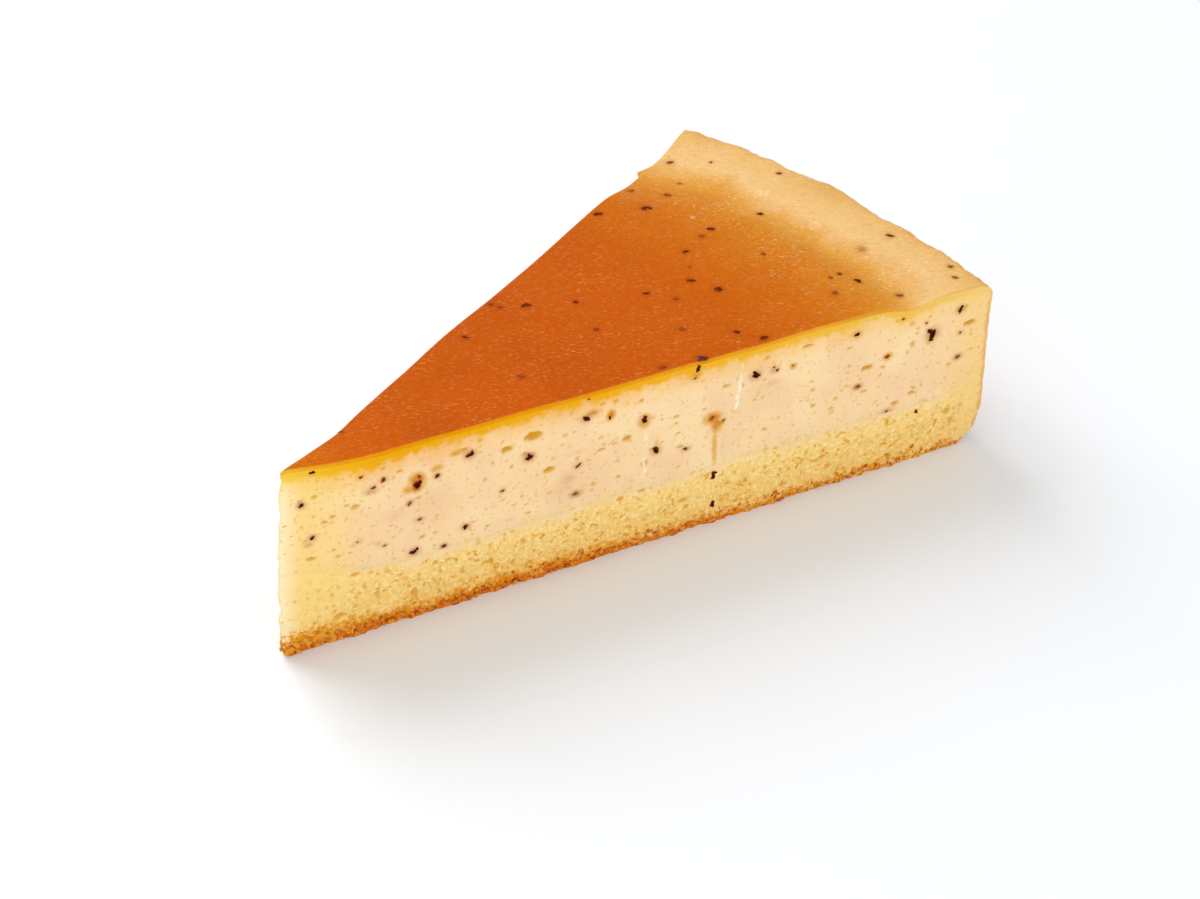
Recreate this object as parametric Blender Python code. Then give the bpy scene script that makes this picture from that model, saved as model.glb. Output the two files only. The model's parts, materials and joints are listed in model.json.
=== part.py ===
"""A slice of soft baked cheesecake on its sponge base, cut from a round cake.

Metres, +Z up. The slice lies along +X, from its tip to the rim of the cake. Reaches are measured from the cake's
own axis, where the two cuts would meet at the top, and the finished slice is then moved so that the middle of
its box stands on the origin. A place on the slice is given as reach, side and height: side is 0 on the front
cut, which faces -Y, and 1 on the back cut.
"""

import math
import random

import bmesh
import bpy
from mathutils import Matrix, Vector, noise

MM = 0.001
LEAF_SEED = 24

# The whole cake
CAKE_RADIUS = 120.9 * MM  # of the rim wall, just under the shoulder
RIM_SPREAD = 1.1 * MM  # the wall stands out this much more at its foot
SLICE_HEIGHT = 32.9 * MM
SHOULDER = 2.3 * MM  # rounding from the top to the rim wall
FOOT_INSET = 4.4 * MM  # the tin's round corner, measured inwards
FOOT_RISE = 10.0 * MM  # and upwards
FLAT_SIDE = 0.33  # the rim isn't quite round: it is flatter around this side
FLAT_SPREAD = 0.2
FLAT_DEPTH = 1.0 * MM

# The cut
HALF_ANGLE = math.radians(17.1)
TIP_BLUNT = 1.0 * MM  # the tip is cut off this far from where its sides meet
TIP_LEAN = 4.2 * MM  # the tip's foot stands this far out from its top
TIP_LEAN_POWER = 1.5
TIP_FOOT_ROUND = 1.2 * MM

# The top, in steps along the slice
TIP_RISE = 1.3 * MM
TIP_RISE_LENGTH = 8.0 * MM
VALLEY_REACH = 106.0 * MM  # a shallow ring-shaped valley inside the raised rim
VALLEY_DEPTH = 1.3 * MM
VALLEY_WIDTH = 4.2 * MM
RIM_DROP = 0.5 * MM
BACK_SAG = 1.0 * MM  # the back cut's edge has sunk
BACK_SAG_START = 34.0 * MM
BACK_SAG_FULL = 70.0 * MM
TEAR_REACH = 99.0 * MM  # and more before the torn flap
TEAR_WIDTH = 6.0 * MM
TEAR_DEPTH = 1.6 * MM
DIP_REACH = 111.0 * MM  # and behind it
DIP_WIDTH = 5.5 * MM
DIP_DEPTH = 1.6 * MM
TEAR_SPREAD = 4  # a higher power keeps both closer to the back cut
TOP_UNEVEN = 0.25 * MM
TOP_WAVE = 14.0 * MM

# The torn flap of skin on the back cut's top edge
FLAP_REACH = 104.6 * MM
FLAP_OUT = 1.8 * MM
FLAP_DEPTH = 6.0 * MM
FLAP_BEFORE = 1.0 * MM
FLAP_AFTER = 3.5 * MM

# Where the sponge ends and the filling starts
SPONGE_HEIGHT = 11.9 * MM
SPONGE_AT_TIP = 4.2 * MM
SPONGE_TIP_LENGTH = 10.5 * MM
SPONGE_AT_RIM = 3.6 * MM
SPONGE_RIM_LENGTH = 9.0 * MM
SPONGE_UNEVEN = 0.4 * MM
SPONGE_WAVE = 12.0 * MM
LAYER_GAP = 0.3 * MM

# Crumbly edges
CRUMB = 0.7 * MM
CRUMB_SIZE = 5.0 * MM
CRUST_HEIGHT = 4.0 * MM
RIM_CRUMB = 1.8 * MM
RIM_CRUMB_SIZE = 7.0 * MM
CUT_UNEVEN = 0.16 * MM
CUT_WAVE = 16.0 * MM
TIP_CALM = 7.0 * MM  # the cuts are even up to here, where the slice is thin

# Steps of the meshes: along, across, up. They are closer at both ends of each run.
FILLING_STEPS = (46, 20, 7)
SPONGE_STEPS = (46, 16, 6)
ENDS_CLOSER = 0.62

# Leaf flecks on the front cut: reach, height and length in millimetres, and their turn in degrees
FRONT_LEAVES = (
    (2.1, 28.0, 1.3, 25), (3.0, 21.6, 1.3, 45), (4.4, 33.2, 1.5, 0), (13.1, 27.6, 1.2, 20),
    (14.6, 28.5, 1.3, 30), (18.1, 13.8, 1.7, 20), (18.3, 22.5, 1.2, 60), (19.6, 25.4, 2.4, 70),
    (23.0, 26.2, 1.3, 45), (23.0, 13.3, 1.7, 5), (26.7, 15.0, 1.4, 45), (28.4, 28.3, 1.8, 20),
    (37.8, 24.6, 2.0, 30), (45.8, 20.3, 1.4, 10), (47.4, 28.8, 1.8, -10), (51.4, 27.6, 1.3, 80),
    (57.3, 25.3, 2.1, 100), (59.3, 18.6, 2.0, 60), (64.3, 17.3, 1.3, -20), (69.8, 21.2, 2.0, 0),
    (76.9, 27.6, 2.2, 135), (80.6, 27.2, 1.2, 90), (95.4, 29.8, 1.6, 0), (101.5, 23.6, 1.4, 20),
    (110.0, 25.6, 3.2, 85), (115.2, 28.9, 2.0, 80), (115.9, 19.2, 1.4, 10),
)
SPONGE_LEAVES = ((69.7, 9.9, 2.0, 80), (69.8, 3.8, 1.9, 95), (108.5, 10.3, 1.6, 110))
# Leaf flecks in the skin: reach in millimetres, angle in degrees, length in millimetres
TOP_LEAVES = (
    (41.3, -5.3, 1.4), (42.4, 13.3, 1.3), (55.5, 11.0, 2.0), (61.4, 5.5, 1.3), (67.8, -15.6, 2.6),
    (71.1, 0.0, 1.4), (76.3, -13.4, 1.8), (79.2, -1.7, 1.8), (79.2, -15.5, 1.7), (80.9, -5.1, 1.9),
    (85.0, 3.2, 1.5), (85.3, 16.0, 1.8), (91.7, 12.4, 2.3), (93.0, 4.1, 1.8), (96.2, 15.6, 2.0),
    (97.7, 12.1, 1.9), (102.0, -11.6, 1.7), (104.1, 3.2, 1.7), (108.7, -7.6, 1.8), (108.8, 15.3, 1.7),
    (114.9, -7.6, 1.8), (115.8, 5.9, 1.5), (117.2, -15.2, 1.6),
)
BACK_LEAVES = 16
BACK_LEAF_START = 10 * MM
BACK_LEAF_END = 114 * MM
LEAF_CLEAR = 2 * MM  # from the sponge and from the skin
LEAF_LENGTHS = (1.3, 2.3)
LEAF_WIDTH = 0.55  # of its length
LEAF_PROUD = 0.34 * MM

# Open bubbles on the front cut: reach, height and length in millimetres
FRONT_BUBBLES = ((38.7, 28.2, 3.4), (34.3, 27.2, 2.2), (41.0, 21.0, 2.2), (97.8, 22.5, 2.4), (117.4, 25.6, 2.6))
BACK_BUBBLES = ((30.0, 23.5, 2.6), (52.0, 27.0, 3.0), (74.0, 20.0, 2.4), (99.0, 26.0, 2.6))
BUBBLE_FLATNESS = 0.45
BUBBLE_TURN = 0.1

FILLING_COLOUR = (0.90, 0.66, 0.36)
SPONGE_COLOUR = (0.80, 0.50, 0.18)


def eased(t, strength=ENDS_CLOSER):
    """Even steps of t turned into steps that are closer near 0 and near 1."""
    return t - strength * math.sin(2 * math.pi * t) / (2 * math.pi)


def bump(x, centre, width):
    """A round hill that is 1 at its centre."""
    return math.exp(-(((x - centre) / width) ** 2))


def rise(x, start, end):
    """A smooth step from 0 at the start to 1 at the end."""
    t = min(max((x - start) / (end - start), 0.0), 1.0)
    return t * t * (3 - 2 * t)


def uneven(point, size):
    """A smooth random value near a point, between -1 and 1, whose bumps are about this size."""
    return noise.noise(point / size)


def top_height(reach, side):
    """Height of the skin: nearly level, with a raised tip, a valley by the rim and a sunken back edge."""
    height = SLICE_HEIGHT + TIP_RISE * bump(reach, 0, TIP_RISE_LENGTH)
    height -= VALLEY_DEPTH * bump(reach, VALLEY_REACH, VALLEY_WIDTH)
    height -= RIM_DROP * rise(reach, VALLEY_REACH, CAKE_RADIUS)
    height -= side * BACK_SAG * rise(reach, BACK_SAG_START, BACK_SAG_FULL)
    torn = TEAR_DEPTH * bump(reach, TEAR_REACH, TEAR_WIDTH) + DIP_DEPTH * bump(reach, DIP_REACH, DIP_WIDTH)
    height -= side**TEAR_SPREAD * torn
    return height + TOP_UNEVEN * uneven(Vector((reach, side * reach / 2, 0)), TOP_WAVE)


def layer_height(reach, side):
    """Height where the sponge meets the filling: higher at the tip and by the rim."""
    height = SPONGE_HEIGHT + SPONGE_AT_TIP * bump(reach, 0, SPONGE_TIP_LENGTH)
    height += SPONGE_AT_RIM * rise(reach, CAKE_RADIUS - SPONGE_RIM_LENGTH, CAKE_RADIUS)
    return height + SPONGE_UNEVEN * uneven(Vector((reach, side * reach / 2, SPONGE_HEIGHT)), SPONGE_WAVE)


def apex(height):
    """Where the two cuts meet at this height, along X. The cuts lean out towards the foot."""
    level = min(max(height / SLICE_HEIGHT, 0.0), 1.0)
    return -TIP_BLUNT - TIP_LEAN * (1 - level**TIP_LEAN_POWER)


def wall_radius(height, side):
    """Radius of the rim wall before its two corners are rounded."""
    flat = FLAT_DEPTH * bump(side, FLAT_SIDE, FLAT_SPREAD)
    return CAKE_RADIUS + RIM_SPREAD * (1 - height / SLICE_HEIGHT) - flat


def rounded(inset, depth, across, down):
    """A point near a square corner, given by its distances from both faces, pulled in to a round corner.

    Each square shell around the inner corner point becomes the arc of the same reach.
    """
    if inset >= across or depth >= down:
        return inset, depth
    a, b = 1 - inset / across, 1 - depth / down
    pull = max(a, b) / math.hypot(a, b)
    return across * (1 - a * pull), down * (1 - b * pull)


def on_slice(along, across, up, floor, roof):
    """The point of a layer at shares along, across and up of it, between its floor and its roof."""
    side = eased(across)
    nominal = eased(along) * CAKE_RADIUS
    low, high = floor(nominal, side), roof(nominal, side)
    height = low + (high - low) * eased(up)

    centre = apex(height)
    full = wall_radius(height, side) - centre
    inset = (full - TIP_BLUNT) * (1 - eased(along))
    top = top_height(nominal, side)
    inset, depth = rounded(inset, top - height, SHOULDER, SHOULDER)
    height = top - depth
    inset, height = rounded(inset, height, FOOT_INSET, FOOT_RISE)
    tip_inset, height = rounded(full - inset - TIP_BLUNT, height, TIP_FOOT_ROUND, 2 * TIP_FOOT_ROUND)
    distance = tip_inset + TIP_BLUNT

    angle = (2 * side - 1) * HALF_ANGLE
    point = Vector((centre + distance * math.cos(angle), distance * math.sin(angle), height))
    return point + surface_relief(point, along, across, angle, distance)


def surface_relief(point, along, across, angle, distance):
    """Small uneven moves of the cuts and of the rim, and the torn flap on the back cut."""
    move = Vector((0, 0, 0))
    crust = 1 - rise(point.z, 0, CRUST_HEIGHT)
    if across in (0, 1):
        outward = Vector((-math.sin(abs(angle)), math.copysign(math.cos(angle), angle), 0))
        amount = CUT_UNEVEN * uneven(point, CUT_WAVE) + crust * CRUMB * uneven(point, CRUMB_SIZE)
        amount *= rise(distance, TIP_BLUNT, TIP_CALM)
        if across == 1:
            amount += flap(point)
        move += outward * amount
    if along == 1:
        radial = Vector((math.cos(angle), math.sin(angle), 0))
        near_top = rise(point.z, SLICE_HEIGHT - 4 * SHOULDER, SLICE_HEIGHT - SHOULDER)
        move += radial * RIM_CRUMB * (near_top + crust) * uneven(point, RIM_CRUMB_SIZE)
    return move


def flap(point):
    """How far the torn skin stands out of the back cut: a steep step on the tip's side, then a slow return."""
    reach = math.hypot(point.x, point.y)
    width = FLAP_BEFORE if reach < FLAP_REACH else FLAP_AFTER
    near_top = rise(point.z, SLICE_HEIGHT - FLAP_DEPTH, SLICE_HEIGHT - FLAP_DEPTH / 3)
    return FLAP_OUT * bump(reach, FLAP_REACH, width) * near_top


def layer(name, steps, floor, roof, surface):
    """One layer of the slice: a unit block sliced into a grid, whose corners are then put on the slice."""
    mesh = bmesh.new()
    bmesh.ops.create_cube(mesh, size=1, matrix=Matrix.Translation((0.5, 0.5, 0.5)))
    for axis, count in enumerate(steps):
        normal = Vector([float(i == axis) for i in range(3)])
        for step in range(1, count):
            everything = mesh.verts[:] + mesh.edges[:] + mesh.faces[:]
            bmesh.ops.bisect_plane(mesh, geom=everything, plane_co=normal * step / count, plane_no=normal)
    for vertex in mesh.verts:
        along, across, up = (round(value, 5) for value in vertex.co)
        vertex.co = on_slice(along, across, up, floor, roof)
    bmesh.ops.recalc_face_normals(mesh, faces=mesh.faces)
    underside = [face for face in mesh.faces if all(v.co.z < 0.01 * MM for v in face.verts)]
    if underside:
        rim = {edge for face in underside for edge in face.edges}
        inner = [edge for edge in rim if all(face in underside for face in edge.link_faces)]
        bmesh.ops.dissolve_edges(mesh, edges=inner, use_verts=True)
    bmesh.ops.triangulate(mesh, faces=mesh.faces)
    return finished(name, mesh, surface)


def finished(name, mesh, surface):
    """A named object made from a bmesh, smooth except at its sharp edges."""
    data = bpy.data.meshes.new(name)
    mesh.to_mesh(data)
    mesh.free()
    data.materials.append(surface)
    data.shade_smooth()
    data.set_sharp_from_angle(angle=math.radians(35))
    node = bpy.data.objects.new(name, data)
    bpy.context.scene.collection.objects.link(node)
    return node


def cut_place(reach, height, front):
    """A point on a cut, with the cut's outward direction and a direction along it."""
    side = -1 if front else 1
    distance = reach - apex(height) * math.cos(HALF_ANGLE)
    angle = side * HALF_ANGLE
    point = Vector((apex(height) + distance * math.cos(angle), distance * math.sin(angle), height))
    outward = Vector((-math.sin(HALF_ANGLE), side * math.cos(HALF_ANGLE), 0))
    return point, outward, Vector((math.cos(angle), math.sin(angle), 0))


def top_place(reach, degrees):
    """A point on the skin, with the upward direction and the direction to the rim."""
    angle = math.radians(degrees)
    side = 0.5 + 0.5 * angle / HALF_ANGLE
    outwards = Vector((math.cos(angle), math.sin(angle), 0))
    return outwards * reach + Vector((0, 0, top_height(reach, side))), Vector((0, 0, 1)), outwards


def pebble(place, size, turn, group):
    """A small round bit in a collection: length, width and thickness, turned about the surface's normal."""
    point, normal, along = place
    across = normal.cross(along)
    axes = Matrix((along, across, normal)).transposed().to_4x4()
    matrix = Matrix.Translation(point) @ axes @ Matrix.Rotation(turn, 4, "Z") @ Matrix.Diagonal((*size, 1))
    mesh = bmesh.new()
    bmesh.ops.create_icosphere(mesh, subdivisions=1, radius=1, matrix=matrix)
    data = bpy.data.meshes.new("bit")
    mesh.to_mesh(data)
    mesh.free()
    bit = bpy.data.objects.new("bit", data)
    group.objects.link(bit)
    bit.hide_render = True
    bit.display_type = "WIRE"


def combine(node, group, operation):
    """Joins a collection of bits to a node, or cuts them from it, and then removes the bits."""
    step = node.modifiers.new(operation, "BOOLEAN")
    step.operation = operation
    step.operand_type = "COLLECTION"
    step.collection = group
    step.solver = "EXACT"
    bpy.context.view_layer.objects.active = node
    bpy.ops.object.modifier_apply(modifier=step.name)
    for bit in list(group.objects):
        bpy.data.objects.remove(bit)
    bpy.data.collections.remove(group)


def new_group(name):
    group = bpy.data.collections.new(name)
    bpy.context.scene.collection.children.link(group)
    return group


def open_bubbles(filling):
    """Hollows where the knife opened bubbles in the filling."""
    group = new_group("bubbles")
    for bubbles, front in ((FRONT_BUBBLES, True), (BACK_BUBBLES, False)):
        for reach, height, length in bubbles:
            half = length * MM / 2
            size = (half, half * BUBBLE_FLATNESS, half * BUBBLE_FLATNESS)
            pebble(cut_place(reach * MM, height * MM, front), size, BUBBLE_TURN, group)
    combine(filling, group, "DIFFERENCE")


def front_places(leaves):
    """The places, lengths and turns of flecks listed by reach, height, length and turn on the front cut."""
    return [
        (cut_place(reach * MM, height * MM, True), length, math.radians(turn))
        for reach, height, length, turn in leaves
    ]


def filling_places():
    """Every fleck of the filling. Those on the back cut, which is not seen, are drawn at random."""
    draw = random.Random(LEAF_SEED)
    places = front_places(FRONT_LEAVES)
    for reach, angle, length in TOP_LEAVES:
        places.append((top_place(reach * MM, angle), length, draw.uniform(0, math.pi)))
    for number in range(BACK_LEAVES):
        share = (number + draw.random()) / BACK_LEAVES
        reach = BACK_LEAF_START + (BACK_LEAF_END - BACK_LEAF_START) * share
        low, high = layer_height(reach, 1) + LEAF_CLEAR, top_height(reach, 1) - LEAF_CLEAR
        place = cut_place(reach, draw.uniform(low, high), False)
        places.append((place, draw.uniform(*LEAF_LENGTHS), draw.uniform(0, math.pi)))
    return places


def leaf_flecks(node, places):
    """Joins half-sunk flecks of leaf to a node at these places."""
    group = new_group("leaves")
    for place, length, turn in places:
        half = length * MM / 2
        pebble(place, (half, half * LEAF_WIDTH, LEAF_PROUD), turn, group)
    combine(node, group, "UNION")


def food(name, colour, roughness):
    surface = bpy.data.materials.new(name)
    surface.use_nodes = True
    shader = surface.node_tree.nodes["Principled BSDF"]
    shader.inputs["Base Color"].default_value = (*colour, 1)
    shader.inputs["Roughness"].default_value = roughness
    shader.inputs["Metallic"].default_value = 0
    surface.diffuse_color = (*colour, 1)
    return surface


def stand_on_origin(nodes):
    """Moves the meshes so that the middle of the slice's box stands on the origin."""
    points = [vertex.co for node in nodes for vertex in node.data.vertices]
    low = Vector([min(point[axis] for point in points) for axis in range(3)])
    high = Vector([max(point[axis] for point in points) for axis in range(3)])
    middle = (low + high) / 2
    for node in nodes:
        node.data.transform(Matrix.Translation((-middle.x, -middle.y, -low.z)))


def main():
    for old in list(bpy.data.objects):
        bpy.data.objects.remove(old)
    sponge = layer(
        "sponge_base",
        SPONGE_STEPS,
        lambda reach, side: 0.0,
        lambda reach, side: layer_height(reach, side) - LAYER_GAP / 2,
        food("sponge", SPONGE_COLOUR, 0.85),
    )
    filling = layer(
        "cheesecake_filling",
        FILLING_STEPS,
        lambda reach, side: layer_height(reach, side) + LAYER_GAP / 2,
        top_height,
        food("filling", FILLING_COLOUR, 0.6),
    )
    open_bubbles(filling)
    leaf_flecks(filling, filling_places())
    leaf_flecks(sponge, front_places(SPONGE_LEAVES))
    stand_on_origin([sponge, filling])


main()
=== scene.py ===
# %% [markdown]
# # A slice of soft baked cheesecake
# The slice comes from a round cake: a browned skin, a pale moist filling with dark flecks of leaf, and a golden
# sponge under it, whose foot was browned by the tin. Its solids are packed already, at their real size. Each layer
# is made again here as a much finer mesh in the same place, so that pores, crumb and wrinkles are real shape, and
# then it gets its finish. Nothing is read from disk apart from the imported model.

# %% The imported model
import bmesh
import bpy
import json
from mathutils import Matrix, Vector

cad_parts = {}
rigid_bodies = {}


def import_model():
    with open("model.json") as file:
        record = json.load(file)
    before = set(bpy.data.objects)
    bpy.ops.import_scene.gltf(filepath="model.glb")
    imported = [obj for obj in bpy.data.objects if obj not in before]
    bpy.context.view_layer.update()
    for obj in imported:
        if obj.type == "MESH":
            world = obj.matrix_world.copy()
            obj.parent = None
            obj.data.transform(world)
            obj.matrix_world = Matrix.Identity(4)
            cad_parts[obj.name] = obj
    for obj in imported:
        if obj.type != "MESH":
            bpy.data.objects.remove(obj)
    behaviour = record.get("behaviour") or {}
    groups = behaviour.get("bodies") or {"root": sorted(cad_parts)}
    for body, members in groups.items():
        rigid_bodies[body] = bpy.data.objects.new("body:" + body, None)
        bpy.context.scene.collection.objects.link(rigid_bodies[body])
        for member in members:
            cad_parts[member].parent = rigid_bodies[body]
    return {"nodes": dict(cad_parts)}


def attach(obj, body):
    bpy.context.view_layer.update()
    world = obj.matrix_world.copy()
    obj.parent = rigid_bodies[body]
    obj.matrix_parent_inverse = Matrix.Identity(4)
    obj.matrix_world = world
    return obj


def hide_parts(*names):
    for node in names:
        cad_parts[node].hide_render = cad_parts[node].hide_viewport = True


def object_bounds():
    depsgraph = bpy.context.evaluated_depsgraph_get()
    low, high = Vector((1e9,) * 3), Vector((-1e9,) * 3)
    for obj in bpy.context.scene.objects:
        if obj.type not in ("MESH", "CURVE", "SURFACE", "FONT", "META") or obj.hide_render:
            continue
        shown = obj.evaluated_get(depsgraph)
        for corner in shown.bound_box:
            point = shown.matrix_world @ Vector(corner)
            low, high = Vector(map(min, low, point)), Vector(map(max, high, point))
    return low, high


for startup_object in list(bpy.data.objects):
    bpy.data.objects.remove(startup_object)
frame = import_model()
cad_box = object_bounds()
print("solids:", sorted(frame["nodes"]), "box in m:", [tuple(round(v, 4) for v in corner) for corner in cad_box])

# %% [markdown]
# ## The shape in numbers
# A cake is easiest to describe the way it was baked and cut. A place in it has a reach from the cake's axis, a side
# from 0 on the front cut to 1 on the back cut, and a height. Working with these three instead of x, y and z keeps
# every formula short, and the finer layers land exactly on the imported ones. All sizes are in millimetres.

# %% Sizes in millimetres
import itertools
import json
import math
import random
from types import SimpleNamespace

import numpy as np
from mathutils import Vector

MM = 0.001
CAKE_RADIUS = 120.9
RIM_SPREAD = 1.1
SLICE_HEIGHT = 32.9
SHOULDER = 2.3
FOOT_INSET = 4.4
FOOT_RISE = 10.0
# Where the rim isn't round: side, spread and move outwards
RIM_FORM = ((0.33, 0.2, -1.0), (0.08, 0.06, 0.6), (0.36, 0.1, -0.45), (0.68, 0.11, -1.0), (1.0, 0.14, 0.5))

HALF_ANGLE = math.radians(17.1)
TIP_BLUNT = 1.0
TIP_LEAN = 4.2
TIP_LEAN_POWER = 1.5
TIP_FOOT_ROUND = 1.2

TIP_RISE, TIP_RISE_LENGTH = 1.3, 8.0
TIP_PEAK, TIP_PEAK_LENGTH = 0.35, 3.0
TIP_DIP, TIP_DIP_REACH, TIP_DIP_LENGTH = 0.5, 13.0, 4.0
VALLEY_REACH, VALLEY_DEPTH, VALLEY_WIDTH = 106.0, 1.3, 4.2
RIM_DROP = 0.5
BACK_SAG, BACK_SAG_START, BACK_SAG_FULL = 1.0, 34.0, 70.0
TEAR_REACH, TEAR_WIDTH, TEAR_DEPTH = 99.0, 6.0, 1.6
DIP_REACH, DIP_WIDTH, DIP_DEPTH = 111.0, 5.5, 1.6
TEAR_SPREAD = 4
TOP_UNEVEN, TOP_WAVE = 0.25, 14.0
FLAP_REACH, FLAP_OUT, FLAP_DEPTH = 104.6, 1.8, 6.0
FLAP_BEFORE, FLAP_AFTER = 1.0, 3.5

SPONGE_HEIGHT = 11.9
SPONGE_AT_TIP, SPONGE_TIP_LENGTH = 4.2, 10.5
SPONGE_AT_RIM, SPONGE_RIM_LENGTH = 3.6, 9.0
SPONGE_UNEVEN, SPONGE_WAVE = 0.4, 12.0
SKIN = 1.0

# The cake's axis lies this far in from the tip's foot, and the frame's origin is the middle of the slice's box
AXIS_FROM_TIP_FOOT = 4.106
AXIS_ASIDE = -0.056
CAKE_AXIS = np.array([cad_box[0].x / MM + AXIS_FROM_TIP_FOOT, AXIS_ASIDE, 0])
print("the cake's axis in mm:", CAKE_AXIS.round(2))

# %% [markdown]
# ## Noise and hollows
# Baked food is uneven at every scale. Two functions of a place in space give that: a smooth noise for waves and
# lumps, and round hollows of random size for pores. Both depend only on the place, so that two layers which meet
# at a line move alike there, and the line stays shut.

# %% Smooth noise and round hollows
def random_table(seed):
    """A shuffle of 256 numbers, a random direction for each, and three random shares for each."""
    draw = np.random.default_rng(seed)
    slopes = draw.normal(size=(256, 3))
    return draw.permutation(256), slopes / np.linalg.norm(slopes, axis=1)[:, None], draw.random((256, 4))


def corner_number(shuffle, corner):
    """The number from 0 to 255 that belongs to a corner of the lattice: its three indices shuffled in turn."""
    first = shuffle[corner[..., 0] & 255]
    second = shuffle[(first + corner[..., 1]) & 255]
    return shuffle[(second + corner[..., 2]) & 255]


def noise(xyz, size, seed=1):
    """Smooth noise, about -1 to 1, in bumps of about this size.

    Each corner of a cubic lattice has a random slope. Its value at a point is the slope times the offset from the
    corner, and the eight values around a point are blended by the smooth step 6t^5 - 15t^4 + 10t^3.
    """
    shuffle, slopes, _ = random_table(seed)
    place = xyz / size
    cell = np.floor(place).astype(int)
    offset = place - cell
    blend = offset**3 * (offset * (offset * 6 - 15) + 10)
    total = np.zeros(len(xyz))
    for corner in itertools.product((0, 1), repeat=3):
        slope = slopes[corner_number(shuffle, cell + corner)]
        weight = np.where(corner, blend, 1 - blend).prod(axis=-1)
        total += weight * ((offset - corner) * slope).sum(axis=-1)
    return 1.6 * total


def hollows(xyz, size, radii, share, seed):
    """Round hollows, 1 in the middle and 0 outside: half a ball, sqrt(1 - (distance / radius)^2).

    Each cell of a lattice of this size has one with this share, at a random place in the cell, and its radius
    lies between the two radii.
    """
    shuffle, _, shares = random_table(seed)
    place = xyz / size
    cell = np.floor(place).astype(int)
    deepest = np.zeros(len(xyz))
    for corner in itertools.product((-1, 0, 1), repeat=3):
        picked = shares[corner_number(shuffle, cell + corner)]
        middle = cell + corner + 0.15 + 0.7 * picked[:, :3]
        radius = (radii[0] + (radii[1] - radii[0]) * picked[:, 0] ** 2) / size
        inside = 1 - ((place - middle) ** 2).sum(axis=-1) / radius**2
        deepest = np.maximum(deepest, np.sqrt(np.clip(inside, 0, None)) * (picked[:, 3] < share))
    return deepest


def hill(x, centre, width):
    """A round hill that is 1 at its centre: e^-((x - centre) / width)^2."""
    return np.exp(-(((x - centre) / width) ** 2))


def rise(x, start, end):
    """The smooth step 3t^2 - 2t^3 from 0 at the start to 1 at the end."""
    t = np.clip((x - start) / (end - start), 0, 1)
    return t * t * (3 - 2 * t)


# %% [markdown]
# ## The layers' surfaces
# The skin is nearly level: the tip stands up a little, a shallow valley runs inside the rim, and the back edge has
# sunk. The line between sponge and filling rises at both ends. The cuts lean outwards towards the foot, and the
# rim has a rounded shoulder and the tin's round foot. Each of these is one line of arithmetic on whole arrays.

# %% Heights, lean and round corners
def beside(reach, side, height):
    """Places where noise is looked up: the side is halved and laid out along the reach, at one height."""
    return np.stack([reach, side * reach / 2, np.full(np.shape(reach), float(height))], axis=-1)


def top_height(reach, side):
    """Height of the skin: level, plus the raised tip, less the valley, the rim's drop, the sag and the tear."""
    height = SLICE_HEIGHT + TIP_RISE * hill(reach, 0, TIP_RISE_LENGTH) + TIP_PEAK * hill(reach, 0, TIP_PEAK_LENGTH)
    height -= side * TIP_DIP * hill(reach, TIP_DIP_REACH, TIP_DIP_LENGTH)
    height -= VALLEY_DEPTH * hill(reach, VALLEY_REACH, VALLEY_WIDTH)
    height -= RIM_DROP * rise(reach, VALLEY_REACH, CAKE_RADIUS)
    height -= side * BACK_SAG * rise(reach, BACK_SAG_START, BACK_SAG_FULL)
    torn = TEAR_DEPTH * hill(reach, TEAR_REACH, TEAR_WIDTH) + DIP_DEPTH * hill(reach, DIP_REACH, DIP_WIDTH)
    height -= side**TEAR_SPREAD * torn
    return height + TOP_UNEVEN * noise(beside(reach, side, 0), TOP_WAVE)


def skin_floor(reach, side):
    return top_height(reach, side) - SKIN


def layer_height(reach, side):
    """Height where the sponge meets the filling: level, and higher at the tip and by the rim."""
    height = SPONGE_HEIGHT + SPONGE_AT_TIP * hill(reach, 0, SPONGE_TIP_LENGTH)
    height += SPONGE_AT_RIM * rise(reach, CAKE_RADIUS - SPONGE_RIM_LENGTH, CAKE_RADIUS)
    return height + SPONGE_UNEVEN * noise(beside(reach, side, SPONGE_HEIGHT), SPONGE_WAVE)


def board(reach, side):
    return 0 * reach


def apex(height):
    """Where the two cuts meet at a height, along X: further out towards the foot, by a power of the level."""
    level = np.clip(height / SLICE_HEIGHT, 0, 1)
    return -TIP_BLUNT - TIP_LEAN * (1 - level**TIP_LEAN_POWER)


def wall_radius(height, side):
    """Radius of the rim: wider at its foot, with flatter and fuller stretches as hills along the side."""
    form = sum(move * hill(side, at, spread) for at, spread, move in RIM_FORM)
    return CAKE_RADIUS + RIM_SPREAD * (1 - height / SLICE_HEIGHT) + form


def rounded(inset, depth, across, down):
    """Distances from two faces, with their square corner pulled in to a quarter of an ellipse.

    Each square shell around the inner corner point becomes the arc of the same reach.
    """
    a, b = 1 - inset / across, 1 - depth / down
    pull = np.maximum(a, b) / np.maximum(np.hypot(a, b), 1e-9)
    corner = (a > 0) & (b > 0)
    return np.where(corner, across * (1 - a * pull), inset), np.where(corner, down * (1 - b * pull), depth)


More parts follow.
